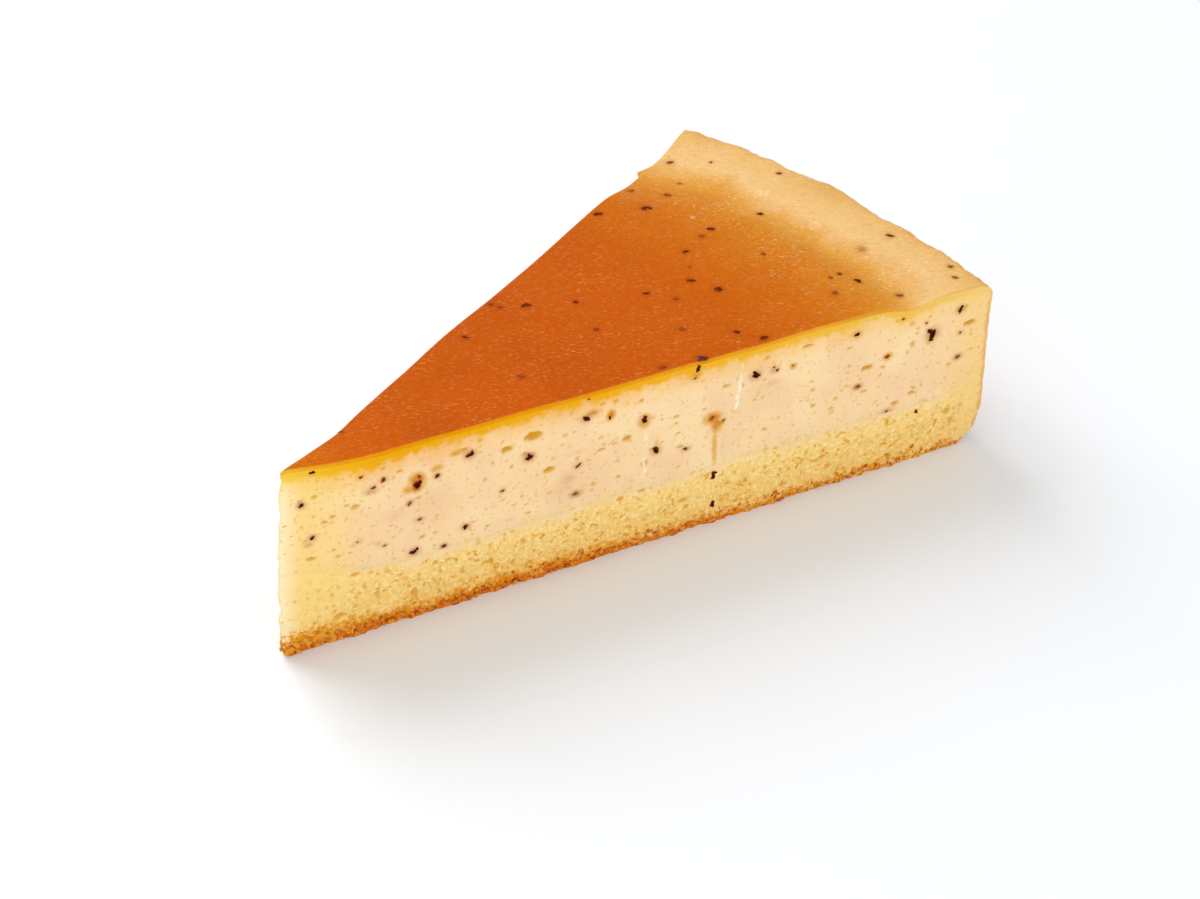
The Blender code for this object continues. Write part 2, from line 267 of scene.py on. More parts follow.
def layer_points(share, side, level, floor, roof):
    """Points of a layer at shares along, across and up of it, with their distances from each face.

    The height goes evenly from floor to roof, the distance from the apex evenly from tip to rim, and the angle
    evenly from cut to cut. The rim's two corners and the tip's foot are then rounded.
    """
    reach = share * CAKE_RADIUS
    low, high = floor(reach, side), roof(reach, side)
    square_height = low + (high - low) * level
    centre = apex(square_height)
    full = wall_radius(square_height, side) - centre
    top = top_height(reach, side)
    inset, depth = rounded((full - TIP_BLUNT) * (1 - share), top - square_height, SHOULDER, SHOULDER)
    inset, height = rounded(inset, top - depth, FOOT_INSET, FOOT_RISE)
    tip_inset, height = rounded(full - inset - TIP_BLUNT, height, TIP_FOOT_ROUND, 2 * TIP_FOOT_ROUND)
    distance = tip_inset + TIP_BLUNT
    angle = (2 * side - 1) * HALF_ANGLE
    return SimpleNamespace(
        xyz=np.stack([centre + distance * np.cos(angle), distance * np.sin(angle), height], axis=-1),
        angle=angle,
        distance=distance,
        reach=reach,
        along=distance + centre * math.cos(HALF_ANGLE),
        depth=top - square_height,
        seam=square_height - layer_height(reach, side),
        front=distance * np.sin(angle + HALF_ANGLE),
        back=distance * np.sin(HALF_ANGLE - angle),
        rim=(1 - share) * CAKE_RADIUS,
    )


middle_of_top = top_height(np.array([60.0]), np.array([0.5]))[0]
print(f"height in the middle of the top: {middle_of_top:.1f} mm")

# %% [markdown]
# ## One mesh for each layer
# A layer is a block of small cells, bent into place. Only its outside is needed, so the mesh has full grids where
# the layer shows and long strips where another layer hides it. A strip that meets a full grid takes that grid's
# row of corners into one many-sided face, which leaves no gap between them.

# %% From a block of cells to a closed mesh
def closer_at_ends(count, strength):
    """Even shares from 0 to 1, less strength * sin(2 pi t) / 2 pi, which draws them towards both ends."""
    t = np.linspace(0, 1, count + 1)
    return t - strength * np.sin(2 * np.pi * t) / (2 * np.pi)


def block_faces(steps, top_shows):
    """Faces of a block of cells, as corner numbers: grids on both cuts, the rim and the shown top, else strips."""
    n, m, h = steps

    def number(i, j, k):
        return (i * (m + 1) + j) * (h + 1) + k

    def grid(i, j, k):
        corners = number(i, j, k)
        cells = [corners[:-1, :-1], corners[1:, :-1], corners[1:, 1:], corners[:-1, 1:]]
        return np.stack(cells, axis=-1).reshape(-1, 4).tolist()

    along, across, up = np.arange(n + 1)[:, None], np.arange(m + 1), np.arange(h + 1)
    faces = grid(along, 0, up) + grid(along, m, up) + grid(n, across[:, None], up)
    inner = list(range(1, m))
    for k in [0] if top_shows else [0, h]:
        faces += grid(along[:-1], np.array([0, m]), k)
        rim_row = [number(n, j, k) for j in inner]
        faces.append([number(n - 1, 0, k), number(n, 0, k), *rim_row, number(n, m, k), number(n - 1, m, k)])
    tip = up[:, None]
    if top_shows:
        faces += grid(along, across, h)
        tip = up[:-1, None]
        top_row = [number(0, j, h) for j in inner]
        faces.append([number(0, 0, h - 1), number(0, 0, h), *top_row, number(0, m, h), number(0, m, h - 1)])
    faces += grid(0, np.array([0, m]), tip)
    return faces


def compact(steps, faces):
    """Shares along, across and up of the corners that the faces use, and the faces renumbered to them."""
    n, m, h = steps
    sizes = [len(face) for face in faces]
    used, new = np.unique(np.concatenate([np.array(face) for face in faces]), return_inverse=True)
    ends = np.cumsum(sizes)
    new = new.tolist()
    faces = [new[end - size : end] for size, end in zip(sizes, ends)]
    return (used // ((m + 1) * (h + 1)), used // (h + 1) % (m + 1), used % (h + 1)), faces


SHARP_ANGLE = math.radians(72)


def placed(name, data):
    """A new object in the scene with this mesh, light or camera."""
    thing = bpy.data.objects.new(name, data)
    bpy.context.scene.collection.objects.link(thing)
    return thing


def make_piece(name, xyz, faces, attributes):
    """An object at the origin whose mesh has these points in millimetres, with one number a point for each name."""
    data = bpy.data.meshes.new(name)
    data.from_pydata(((xyz + CAKE_AXIS) * MM).tolist(), [], faces)
    mesh = bmesh.new()
    mesh.from_mesh(data)
    bmesh.ops.recalc_face_normals(mesh, faces=mesh.faces)
    mesh.to_mesh(data)
    mesh.free()
    for label, values in attributes.items():
        layer = data.attributes.new(label, "FLOAT", "POINT")
        layer.data.foreach_set("value", np.asarray(values, dtype=np.float32))
    data.shade_smooth()
    data.set_sharp_from_angle(angle=SHARP_ANGLE)
    print(f"{name}: {len(xyz)} points, {sum(len(face) - 2 for face in faces)} triangles")
    return placed(name, data)


# %% [markdown]
# ## Relief
# A knife leaves a cut slightly wavy, opens pores and bubbles, and tears crumbs at the browned foot. Each kind of
# relief moves points along one direction: out of the front cut, out of the back cut, out of the rim, or up. The
# move fades with the distance from its face, so that a lump bends the neighbouring face a little, as dough does,
# and does not fold it.

# %% Relief that all layers share
CUT_UNEVEN, CUT_WAVE = 0.16, 16.0
CRUMB, CRUMB_SIZE, CRUST_HEIGHT = 0.45, 5.0, 4.0
RIM_CRUMB, RIM_CRUMB_SIZE = 0.6, 7.0
RIM_CHIP, RIM_CHIP_SIZE = 0.42, 3.2
TIP_CALM, FINE_TIP_CALM = 7.0, 4.0
TIP_WAVE, TIP_WAVE_SIZE = 0.42, 4.0
TIP_NICK, TIP_NICK_SIZE = 0.3, 1.7
EDGE_ROUND = 0.45
BROAD_FADE, FINE_FADE, TIP_FADE = 3.0, 0.5, 1.5
FRONT_OUT = np.array([-math.sin(HALF_ANGLE), -math.cos(HALF_ANGLE), 0])
BACK_OUT = FRONT_OUT * (1, -1, 1)
UP = np.array([0.0, 0.0, 1.0])
TIP_OUT = np.array([-1.0, 0.0, 0.0])


def flap(xyz):
    """How far the torn skin stands out of the back cut: a steep step on the tip's side, then a slow return."""
    reach = np.hypot(xyz[:, 0], xyz[:, 1])
    width = np.where(reach < FLAP_REACH, FLAP_BEFORE, FLAP_AFTER)
    near_top = rise(xyz[:, 2], SLICE_HEIGHT - FLAP_DEPTH, SLICE_HEIGHT - FLAP_DEPTH / 3)
    return FLAP_OUT * hill(reach, FLAP_REACH, width) * near_top


def cut_wave(xyz, distance):
    """The slow wave of a cut and the lumps of its browned foot, both calm at the thin tip."""
    crust = 1 - rise(xyz[:, 2], 0, CRUST_HEIGHT)
    lumps = CUT_UNEVEN * noise(xyz, CUT_WAVE) + CRUMB * crust * noise(xyz, CRUMB_SIZE)
    return lumps * rise(distance, TIP_BLUNT, TIP_CALM)


def relief(p, cut, rim, top):
    """The moves of a layer's points: shared broad relief, plus this layer's own fine relief on each face.

    The edge between skin and cut is rounded as well: its points move by what the rounded corner takes off.
    """
    height = p.xyz[:, 2]
    fine = cut * rise(p.distance, TIP_BLUNT, FINE_TIP_CALM)
    wave = cut_wave(p.xyz, p.distance)
    front = wave * hill(p.front, 0, BROAD_FADE) + fine * hill(p.front, 0, FINE_FADE)
    back = (wave + flap(p.xyz)) * hill(p.back, 0, BROAD_FADE) + fine * hill(p.back, 0, FINE_FADE)
    near_top = rise(height, SLICE_HEIGHT - 4 * SHOULDER, SLICE_HEIGHT - SHOULDER)
    crust = 1 - rise(height, 0, CRUST_HEIGHT)
    lumps = RIM_CRUMB * noise(p.xyz, RIM_CRUMB_SIZE) + RIM_CHIP * noise(p.xyz, RIM_CHIP_SIZE)
    rim = lumps * (near_top + crust) * hill(p.rim, 0, BROAD_FADE) + rim * hill(p.rim, 0, FINE_FADE)
    level = p.xyz * UP
    tip = TIP_WAVE * noise(level, TIP_WAVE_SIZE, 5) + TIP_NICK * noise(level, TIP_NICK_SIZE, 6)
    tip = tip * hill(p.distance, TIP_BLUNT, TIP_FADE)
    front_inset, front_depth = rounded(p.front, p.depth, EDGE_ROUND, EDGE_ROUND)
    back_inset, back_depth = rounded(p.back, p.depth, EDGE_ROUND, EDGE_ROUND)
    front, back = front + p.front - front_inset, back + p.back - back_inset
    up = top * hill(p.depth, 0, FINE_FADE) + 2 * p.depth - front_depth - back_depth
    radial = np.stack([np.cos(p.angle), np.sin(p.angle), 0 * p.angle], axis=-1)
    moves = ((front, FRONT_OUT), (back, BACK_OUT), (rim, radial), (tip, TIP_OUT), (up, UP))
    return sum(amount[:, None] * direction for amount, direction in moves)


# %% [markdown]
# ## Bubbles, flecks and stains
# The knife opened a few bubbles, which are shallow dishes in the cut. Flecks of leaf lie in the filling, in the
# skin and in the sponge. Wet leaf stains the pale filling around it, from a faint halo to one orange-brown smear
# that ran down the cut. Their places are listed as reach and height on the front cut, or reach and angle on top.

# %% Places of bubbles and flecks
# On a cut: reach, height, length, and height over length
FRONT_BUBBLES = (
    (38.7, 28.2, 3.4, 0.45), (34.3, 27.2, 2.2, 0.5), (41.0, 21.0, 2.2, 0.5), (97.8, 22.5, 2.4, 0.4),
    (117.4, 25.6, 2.6, 0.4), (107.1, 14.6, 1.6, 0.6), (86.3, 30.2, 2.2, 0.25), (57.3, 16.6, 1.6, 0.9),
    (27.4, 29.4, 1.7, 0.5), (54.3, 22.6, 1.9, 0.6), (103.9, 13.5, 1.5, 0.5), (10.0, 24.8, 1.6, 0.5),
    (52.2, 22.2, 1.5, 0.3), (49.8, 22.0, 1.8, 0.3), (62.9, 23.8, 1.5, 0.4), (62.2, 22.2, 0.8, 0.7),
    (71.6, 27.1, 1.5, 0.5), (54.8, 14.0, 0.9, 0.6), (5.1, 23.6, 1.4, 0.4), (12.3, 20.4, 1.0, 0.5),
    (2.6, 17.6, 1.4, 0.6), (8.8, 25.5, 1.2, 0.4), (91.4, 16.3, 1.3, 0.5), (97.3, 17.8, 1.2, 0.5),
    (94.3, 20.0, 1.3, 0.4), (86.8, 19.4, 1.0, 0.4), (78.2, 21.0, 1.0, 0.4), (106.3, 24.7, 1.0, 1.2),
    (105.9, 28.8, 1.2, 0.9),
)
SPONGE_BUBBLES = (
    (114.8, 8.3, 1.7, 0.9), (115.9, 6.0, 1.3, 1.2), (17.6, 4.8, 1.5, 1.6), (21.5, 5.1, 1.0, 0.8),
    (17.8, 7.1, 0.9, 1.2), (13.9, 10.7, 1.3, 0.6), (15.7, 9.3, 1.2, 0.6), (8.6, 12.2, 1.7, 0.5),
    (10.2, 8.0, 0.8, 1.2), (11.8, 6.8, 1.1, 1.2), (5.6, 5.0, 1.6, 0.7), (7.2, 3.8, 1.3, 1.0),
    (3.6, 7.1, 1.0, 0.6), (56.8, 11.3, 1.7, 0.5), (53.0, 10.9, 1.6, 0.7), (64.2, 6.7, 2.0, 0.4),
    (52.0, 8.3, 1.1, 0.7), (96.9, 7.9, 1.0, 0.7), (100.1, 6.6, 0.9, 0.7), (103.7, 2.6, 1.3, 0.6),
)
BUBBLE_FULL_SIZE = 2.4
BACK_BUBBLES = ((30.0, 23.5, 2.6, 0.45), (52.0, 27.0, 3.0, 0.45), (74.0, 20.0, 2.4, 0.45), (99.0, 26.0, 2.6, 0.45))

# On the front cut: reach, height, length and turn in degrees
FRONT_LEAVES = (
    (2.1, 28.0, 1.2, 25), (3.0, 21.6, 1.1, 45), (4.4, 33.2, 1.3, 0), (18.2, 13.2, 1.7, 20),
    (19.8, 25.6, 2.1, 50), (23.0, 12.5, 1.2, 5), (26.7, 15.0, 1.3, 45), (28.4, 28.3, 1.8, 20),
    (37.8, 24.6, 1.9, 30), (23.0, 26.2, 1.1, 45), (47.4, 28.8, 1.6, -10), (51.4, 27.6, 0.9, 80),
    (57.3, 25.3, 1.9, 100), (59.3, 18.6, 1.7, 95), (76.9, 27.6, 2.0, 135), (95.4, 29.8, 1.5, 0),
    (110.0, 25.6, 3.0, 85), (115.2, 28.9, 1.8, 80), (66.6, 32.0, 1.6, 60),
)
MILD_LEAVES = (
    (13.1, 27.4, 1.1, 20), (14.7, 28.3, 1.3, 35), (45.8, 20.3, 1.4, 40), (64.5, 17.2, 1.0, -20),
    (80.2, 28.1, 0.6, 0), (80.8, 27.4, 0.8, 60), (101.5, 23.7, 1.1, 20), (115.8, 19.3, 1.1, 30),
    (11.4, 29.9, 0.8, 20),
)
FAINT_LEAVES = (
    (69.3, 21.7, 1.2, 35), (71.3, 20.6, 0.8, 20), (20.2, 27.0, 1.1, 80), (18.3, 22.5, 1.0, 60),
    (33.1, 19.8, 0.9, 10), (45.2, 14.9, 0.9, 30), (83.7, 27.4, 0.6, 0), (96.4, 19.3, 0.9, 40),
    (104.0, 30.3, 0.9, 20), (108.6, 28.2, 0.7, 0), (66.1, 30.4, 0.8, 30), (48.0, 32.2, 0.7, 0),
    (19.6, 19.0, 0.8, 30), (102.4, 12.3, 0.8, 30), (115.7, 24.2, 0.7, 0), (13.8, 16.1, 0.5, 0),
    (9.6, 18.3, 0.5, 0),
)
SPONGE_LEAVES = ((69.7, 9.9, 1.9, 80), (69.8, 3.8, 1.8, 95), (108.5, 10.3, 1.5, 110), (80.9, 1.6, 1.2, 60))
# In the skin: reach, angle in degrees, length
TOP_LEAVES = (
    (42.4, 13.3, 1.3), (61.3, 5.5, 1.1), (55.5, 10.9, 2.0), (71.2, 0.0, 1.3), (76.2, -13.5, 1.5),
    (79.1, -1.8, 1.7), (79.1, -15.9, 1.6), (81.0, -5.1, 1.9), (84.8, 3.1, 1.4), (85.3, 16.2, 1.7),
    (91.6, 12.4, 2.2), (93.1, 4.2, 1.7), (96.5, 16.2, 1.7), (101.7, -11.7, 1.6), (104.2, 3.2, 1.5),
    (108.7, -7.6, 1.6), (114.9, -7.6, 1.5), (116.1, 6.0, 1.4),
)
WET_LEAVES = ((67.8, -16.4, 2.4),)
FAINT_TOP_LEAVES = (
    (41.4, -5.4, 1.3), (52.4, 16.1, 1.0), (52.5, 14.2, 1.1), (58.3, -2.2, 1.1), (61.2, -15.9, 1.4),
    (69.2, -9.6, 1.4), (73.7, -3.5, 1.4), (90.1, 3.9, 1.4), (98.3, 12.3, 1.9), (104.2, 13.0, 1.2),
    (110.2, 16.0, 1.5), (112.8, 12.4, 0.8), (100.2, -10.0, 1.0), (98.1, -10.2, 0.8), (96.0, -12.6, 1.4),
    (105.8, -15.0, 1.6), (117.6, -13.9, 1.2), (116.3, -15.4, 1.2), (81.8, 0.5, 0.6), (93.8, -2.9, 0.9),
    (13.6, 16.4, 0.9),
)
BACK_LEAVES, BACK_LEAF_START, BACK_LEAF_END = 16, 10.0, 114.0
LEAF_SEED, LEAF_CLEAR, LEAF_LENGTHS = 24, 2.0, (1.3, 2.3)
TURNS_DRAWN = 23
# Flecks in the skin lie about this way, in degrees from the X axis
LEAF_LIE, LEAF_STRAY = -42, 35

# On the front cut: reach, height, half width, half height and strength
STAINS = (
    (69.3, 21.6, 1.5, 1.1, 1.0), (70.1, 20.2, 1.0, 1.6, 0.85), (69.8, 15.8, 0.5, 4.6, 0.5),
    (19.8, 26.3, 1.2, 1.4, 1.15), (19.6, 25.3, 1.0, 0.9, 1.3), (18.6, 25.2, 1.2, 0.8, 0.75),
    (23.1, 27.6, 1.1, 0.6, 0.7), (57.3, 24.9, 0.9, 1.3, 0.85), (51.6, 28.1, 0.7, 0.9, 1.0),
    (66.0, 31.0, 1.4, 0.7, 0.8), (26.3, 29.4, 1.0, 0.6, 0.7), (70.9, 20.3, 0.7, 0.6, 0.8),
    (59.5, 20.2, 0.7, 1.2, 0.3), (95.4, 30.0, 1.0, 0.8, 0.5), (101.6, 23.7, 0.9, 0.7, 0.9),
    (110.0, 25.6, 0.9, 1.8, 0.5), (103.9, 13.5, 0.8, 0.5, 0.6), (83.7, 27.2, 0.7, 0.6, 0.6),
    (106.3, 24.7, 0.5, 0.8, 0.5), (104.0, 30.4, 0.9, 0.5, 0.5), (11.4, 30.1, 0.9, 0.6, 0.5),
    (10.0, 24.8, 0.8, 0.5, 0.35),
)
# Brownish shadows of leaf that lies under the cut, in the same numbers
SMUDGES = (
    (12.6, 26.9, 1.3, 0.8, 0.6), (9.7, 18.3, 0.9, 0.6, 0.5), (8.9, 17.9, 0.7, 0.4, 0.45),
    (12.8, 16.8, 0.6, 0.5, 0.5), (13.7, 16.1, 0.7, 0.5, 0.7), (48.5, 29.4, 1.4, 0.8, 0.7),
    (44.1, 18.3, 1.8, 1.4, 0.4), (45.3, 14.9, 1.3, 0.8, 0.8), (96.2, 19.3, 1.2, 0.8, 0.8),
    (80.2, 27.5, 1.0, 0.8, 0.6), (79.9, 25.2, 2.2, 0.8, 0.3), (102.4, 12.3, 1.6, 0.8, 0.6),
    (115.7, 19.3, 1.1, 0.8, 0.8), (115.7, 24.2, 0.9, 0.5, 0.6), (64.7, 17.1, 1.1, 0.6, 0.7),
    (63.6, 17.9, 0.9, 0.4, 0.5), (46.0, 22.9, 1.3, 0.6, 0.3), (19.6, 19.0, 1.0, 0.5, 0.7),
    (2.2, 20.6, 1.0, 0.6, 0.5), (16.2, 21.3, 2.4, 1.5, 0.25), (22.0, 22.0, 4.0, 3.0, 0.2),
    (43.0, 16.5, 5.0, 2.5, 0.22), (78.0, 24.5, 4.0, 1.5, 0.15), (18.4, 22.7, 0.9, 0.7, 0.7),
)
HALO_STRENGTH, MILD_HALO_STRENGTH = 0.75, 0.6

# %% [markdown]
# ## From listed places to numbers at points
# A place in a table becomes a number at every point of a mesh: a hill or half a ball over the distance from it, as
# wide as the mark. All the places are worked out in one array, and each point takes the strongest of them.

# %% Streaks, bubbles and stains
# Where the knife dragged: reach at the lower end, slant, lowest and highest point, width and strength
RIDGES = (
    (73.3, 0.12, 21.3, 31.8, 0.2, 0.5), (73.6, 0.1, 21.8, 28.6, 0.22, 1.0), (75.4, -0.1, 16.6, 19.6, 0.24, 0.8),
    (56.9, 0.08, 13.2, 23.6, 0.3, 0.7), (57.4, 0.0, 26.0, 32.0, 0.24, 0.35),
)
RIDGE_PROUD = 0.26


def ridges(p):
    """Thin raised lines down the front cut, 0 to 1: hills across the reach, broken up and faded at both ends."""
    reach, slant, low, high, width, strength = np.array(RIDGES).T[:, :, None]
    height = p.xyz[:, 2]
    bend = 0.4 * noise(p.xyz * (0, 0, 1), 2.1, 7)
    line = strength * hill(p.along, reach + slant * (height - low) + bend, width)
    line = line * rise(height, low, low + 1.5) * rise(high - height, 0, 1.5)
    broken = 0.7 + 1.1 * noise(p.xyz, 0.9, 8)
    return np.clip(line.sum(axis=0) * broken, 0, 1) * hill(p.front, 0, 1)


def dishes(p, bubbles, near):
    """Open bubbles on one cut: half balls stretched to length and height, where the point is near that cut."""
    reach, height, length, flat = np.array(bubbles).T[:, :, None]
    inside = 1 - ((p.along - reach) / (length / 2)) ** 2 - ((p.xyz[:, 2] - height) / (length * flat / 2)) ** 2
    dish = np.sqrt(np.clip(inside, 0, None)) * np.minimum(length / BUBBLE_FULL_SIZE, 1)
    return dish.max(axis=0) * hill(near, 0, 1)


def spots(p, table):
    """Soft spots on the front cut, 0 to 1: round hills stretched to their half widths and half heights."""
    reach, height, wide, high, strength = np.array(table).T[:, :, None]
    spot = strength * hill(p.along, reach, wide) * hill(p.xyz[:, 2], height, high)
    return spot.max(axis=0) * hill(p.front, 0, 1)


def smudges(p):
    """The listed shadows, and one around every fleck of the front cut, a little larger than the fleck."""
    halos = []
    for flecks, strength in ((FRONT_LEAVES, HALO_STRENGTH), (MILD_LEAVES + FAINT_LEAVES, MILD_HALO_STRENGTH)):
        for reach, height, size, _ in flecks:
            halos.append((reach, height, 0.3 + 0.5 * size, 0.25 + 0.45 * size, strength))
    return spots(p, [*SMUDGES, *halos])


# In the skin: reach, angle in degrees, radius of the ring
BLISTERS = ((109.4, 5.1, 0.6), (107.8, -1.9, 0.75), (94.2, 7.2, 0.35))
BLISTER_PROUD = 0.12


def from_top_places(p, table):
    """Distances from listed places in the skin, seen from above, and the third number of each place."""
    reach, angle, size = np.array(table).T[:, :, None]
    angle = np.radians(angle)
    return np.hypot(p.xyz[:, 0] - reach * np.cos(angle), p.xyz[:, 1] - reach * np.sin(angle)), size


def blisters(p):
    """Small bubbles under the skin: a ring stands up where the distance from the middle is the ring's radius."""
    distance, radius = from_top_places(p, BLISTERS)
    return hill(distance / radius, 1, 0.4).max(axis=0) * hill(p.depth, 0, 0.5)


def top_smears(p):
    """A dark soft halo in the skin around each fleck there."""
    distance, size = from_top_places(p, [*TOP_LEAVES, *WET_LEAVES, *FAINT_TOP_LEAVES])
    return hill(distance, 0, 0.22 + 0.36 * size).max(axis=0) * hill(p.depth, 0, 0.5)


# %% [markdown]
# ## The filling's mesh
# The filling is smooth with fine flat pores. One function makes any layer: it bends the block of cells, adds the
# relief, and keeps a few numbers for the finish at every point: how far the point is from the axis, below the skin,
# above the sponge and from the rim, how deep a hollow is there, and how stained it is.

# %% Filling
# Lattice size, smallest and largest radius, share of cells that have one, and seed
LARGE_PORES, SMALL_PORES = (2.1, (0.3, 0.7), 0.6, 11), (1.2, (0.2, 0.4), 0.75, 12)
WALL_PITS = (3.4, (0.4, 0.9), 0.4, 14)
LARGE_PORE_DEPTH, SMALL_PORE_DEPTH, BUBBLE_DEPTH = 0.22, 0.12, 0.8
WALL_GRAIN_DEPTH, WALL_GRAIN_SIZE, WALL_PIT_DEPTH = 0.14, 1.6, 0.3
PORE_FLATNESS = 1.7
SEAM_CALM = 0.7
ALONG = closer_at_ends(460, 0.35)
ACROSS = closer_at_ends(148, 0.5)


def layer(name, up, floor, roof, top_shows, fine):
    """One layer: a block of cells, bent into place and moved by its relief.

    fine gives the moves of the cut, rim and top, and the marks that the finish reads.
    """
    steps = (len(ALONG) - 1, len(ACROSS) - 1, len(up) - 1)
    (i, j, k), faces = compact(steps, block_faces(steps, top_shows))
    p = layer_points(ALONG[i], ACROSS[j], up[k], floor, roof)
    cut, rim, top, marks = fine(p)
    places = dict(reach=p.reach, depth=p.depth, seam=p.seam, rim=p.rim, front=p.front, back=p.back)
    return make_piece(name, p.xyz + relief(p, cut, rim, top), faces, dict(places, foot=p.xyz[:, 2], **marks))


def baked_wall(p):
    """Relief of the rim: low grain and shallow pits, as where batter baked against the tin."""
    return WALL_GRAIN_DEPTH * noise(p.xyz, WALL_GRAIN_SIZE, 3) - WALL_PIT_DEPTH * hollows(p.xyz, *WALL_PITS)


def filling_relief(p):
    """Pores in two sizes, open bubbles and raised knife streaks, all calm at the seams."""
    calm = rise(p.seam, 0, SEAM_CALM) * rise(p.depth, SKIN, SKIN + SEAM_CALM)
    flattened = p.xyz * (1, 1, PORE_FLATNESS)
    large, small = hollows(flattened, *LARGE_PORES), hollows(flattened, *SMALL_PORES)
    bubble = np.maximum(dishes(p, FRONT_BUBBLES, p.front), dishes(p, BACK_BUBBLES, p.back))
    cut = -calm * (LARGE_PORE_DEPTH * large + SMALL_PORE_DEPTH * small + BUBBLE_DEPTH * bubble)
    hollow = np.maximum(bubble, 0.6 * np.maximum(large, 0.85 * small)) * calm
    ridge = calm * ridges(p)
    marks = dict(hollow=hollow, ridge=ridge, stain=spots(p, STAINS), smudge=smudges(p))
    return cut + RIDGE_PROUD * ridge, baked_wall(p), 0 * cut, marks


filling = layer("filling", closer_at_ends(64, 0.3), layer_height, skin_floor, False, filling_relief)

# %% [markdown]
# ## The sponge's mesh
# Sponge is open crumb. One size of hollow would look like foam rubber, so hollows in three sizes lie close
# together, with fine lumps between them, and rough lumps where the foot was browned.

# %% Sponge
COARSE_CRUMB, MEDIUM_CRUMB = (2.4, (0.3, 0.75), 0.3, 21), (1.1, (0.24, 0.48), 0.65, 22)
FINE_CRUMB = (0.8, (0.2, 0.36), 0.7, 25)
COARSE_DEPTH, MEDIUM_DEPTH, FINE_DEPTH, OPEN_BUBBLE_DEPTH = 0.46, 0.28, 0.14, 0.5
LUMP, CRUST_LUMP, WALL_LUMP = 0.1, 0.34, 0.2


def sponge_relief(p):
    """Open crumb: hollows of three sizes and fine lumps, rougher at the browned foot, and calm at the seam."""
    near_seam = rise(-p.seam, 0, SEAM_CALM)
    calm = near_seam * (0.4 + 0.6 * rise(-p.seam, 1, 5))
    crust = 1 - rise(p.xyz[:, 2], 0.5, CRUST_HEIGHT)
    large = hollows(p.xyz * (1, 1, 1.2), *COARSE_CRUMB)
    medium, small = hollows(p.xyz, *MEDIUM_CRUMB), hollows(p.xyz, *FINE_CRUMB)
    fine, lumps = noise(p.xyz, 0.8, 23), noise(p.xyz, 1.5, 24)
    bubble = dishes(p, SPONGE_BUBBLES, p.front)
    pits = COARSE_DEPTH * large + MEDIUM_DEPTH * medium + FINE_DEPTH * small
    rough = LUMP * fine + crust * (CRUST_LUMP * lumps + 0.12 * fine)
    cut = calm * (rough - pits) - OPEN_BUBBLE_DEPTH * near_seam * bubble
    hollow = np.maximum(np.maximum(large, 0.8 * medium), 0.5 * small) * calm
    return cut, baked_wall(p) + crust * WALL_LUMP * lumps, 0 * cut, dict(hollow=np.maximum(hollow, 1.5 * bubble))


sponge = layer("sponge", closer_at_ends(56, 0.2), board, layer_height, False, sponge_relief)

# %% [markdown]
# ## The skin's mesh
# The skin could be only a colour on top of the filling, but it ends at the cuts as a real edge, so it is a thin
# slab that goes round the shoulder of the rim. It is wrinkled like soft leather, and cragged along the rim, where
# batter stuck to the tin.

# %% Skin
LEATHER_DEPTH, DIMPLE_DEPTH = 0.05, 0.09
RIM_CRAG, RIM_LUMP, RIM_EDGE = 0.28, 0.5, 0.3
RIM_LUMPS = (2.6, (0.4, 0.85), 0.45, 35)


def skin_relief(p):
    """Fine wrinkles and shallow dimples on top, blisters, and crags and round lumps along the rim."""
    flat = p.xyz * (1, 1, 0)
    edge = rise(np.minimum(p.front, p.back), 0, 0.6)
    blister = blisters(p)
    lumps = hollows(p.xyz, *RIM_LUMPS)
    crags = RIM_CRAG * noise(flat, 2.0, 34) * hill(p.rim, 0, 2.5) + RIM_LUMP * lumps * hill(p.rim, 0.8, 1.4)
    wrinkles = LEATHER_DEPTH * noise(flat, 1.1, 31) + DIMPLE_DEPTH * noise(flat, 5.0, 32)
    top = wrinkles * edge + BLISTER_PROUD * blister + crags
    lower = rise(p.depth, 0, SKIN)
    rim = baked_wall(p) * lower + (RIM_EDGE * noise(p.xyz, 1.5, 33) + RIM_LUMP * lumps) * (1 - lower)
    marks = dict(hollow=0 * top, ridge=blister, stain=spots(p, STAINS), smudge=top_smears(p))
    return 0 * top, rim, top, marks


skin = layer("browned_skin", closer_at_ends(4, 0.3), skin_floor, top_height, True, skin_relief)

# %% [markdown]
# ## Flecks of leaf
# A fleck is a ragged chip, half sunk in what it lies on. It could be a flat picture in the material, but its edge
# stands out of the cut and throws a small shadow, so each is a low dome with a random outline. All of them are
# worked out in one array: fleck by fleck, ring by ring, and sector by sector.

# %% Ragged chips, all in one mesh
# Rings of a chip from its top to its underside: share of its radius, and height over its thickness
CHIP_RINGS = ((0.5, 0.85), (0.88, 0.45), (1.0, 0.0), (0.7, -0.8))
LEAF_THICK, LEAF_WIDTH, RAGGED = 0.15, 0.62, 0.4


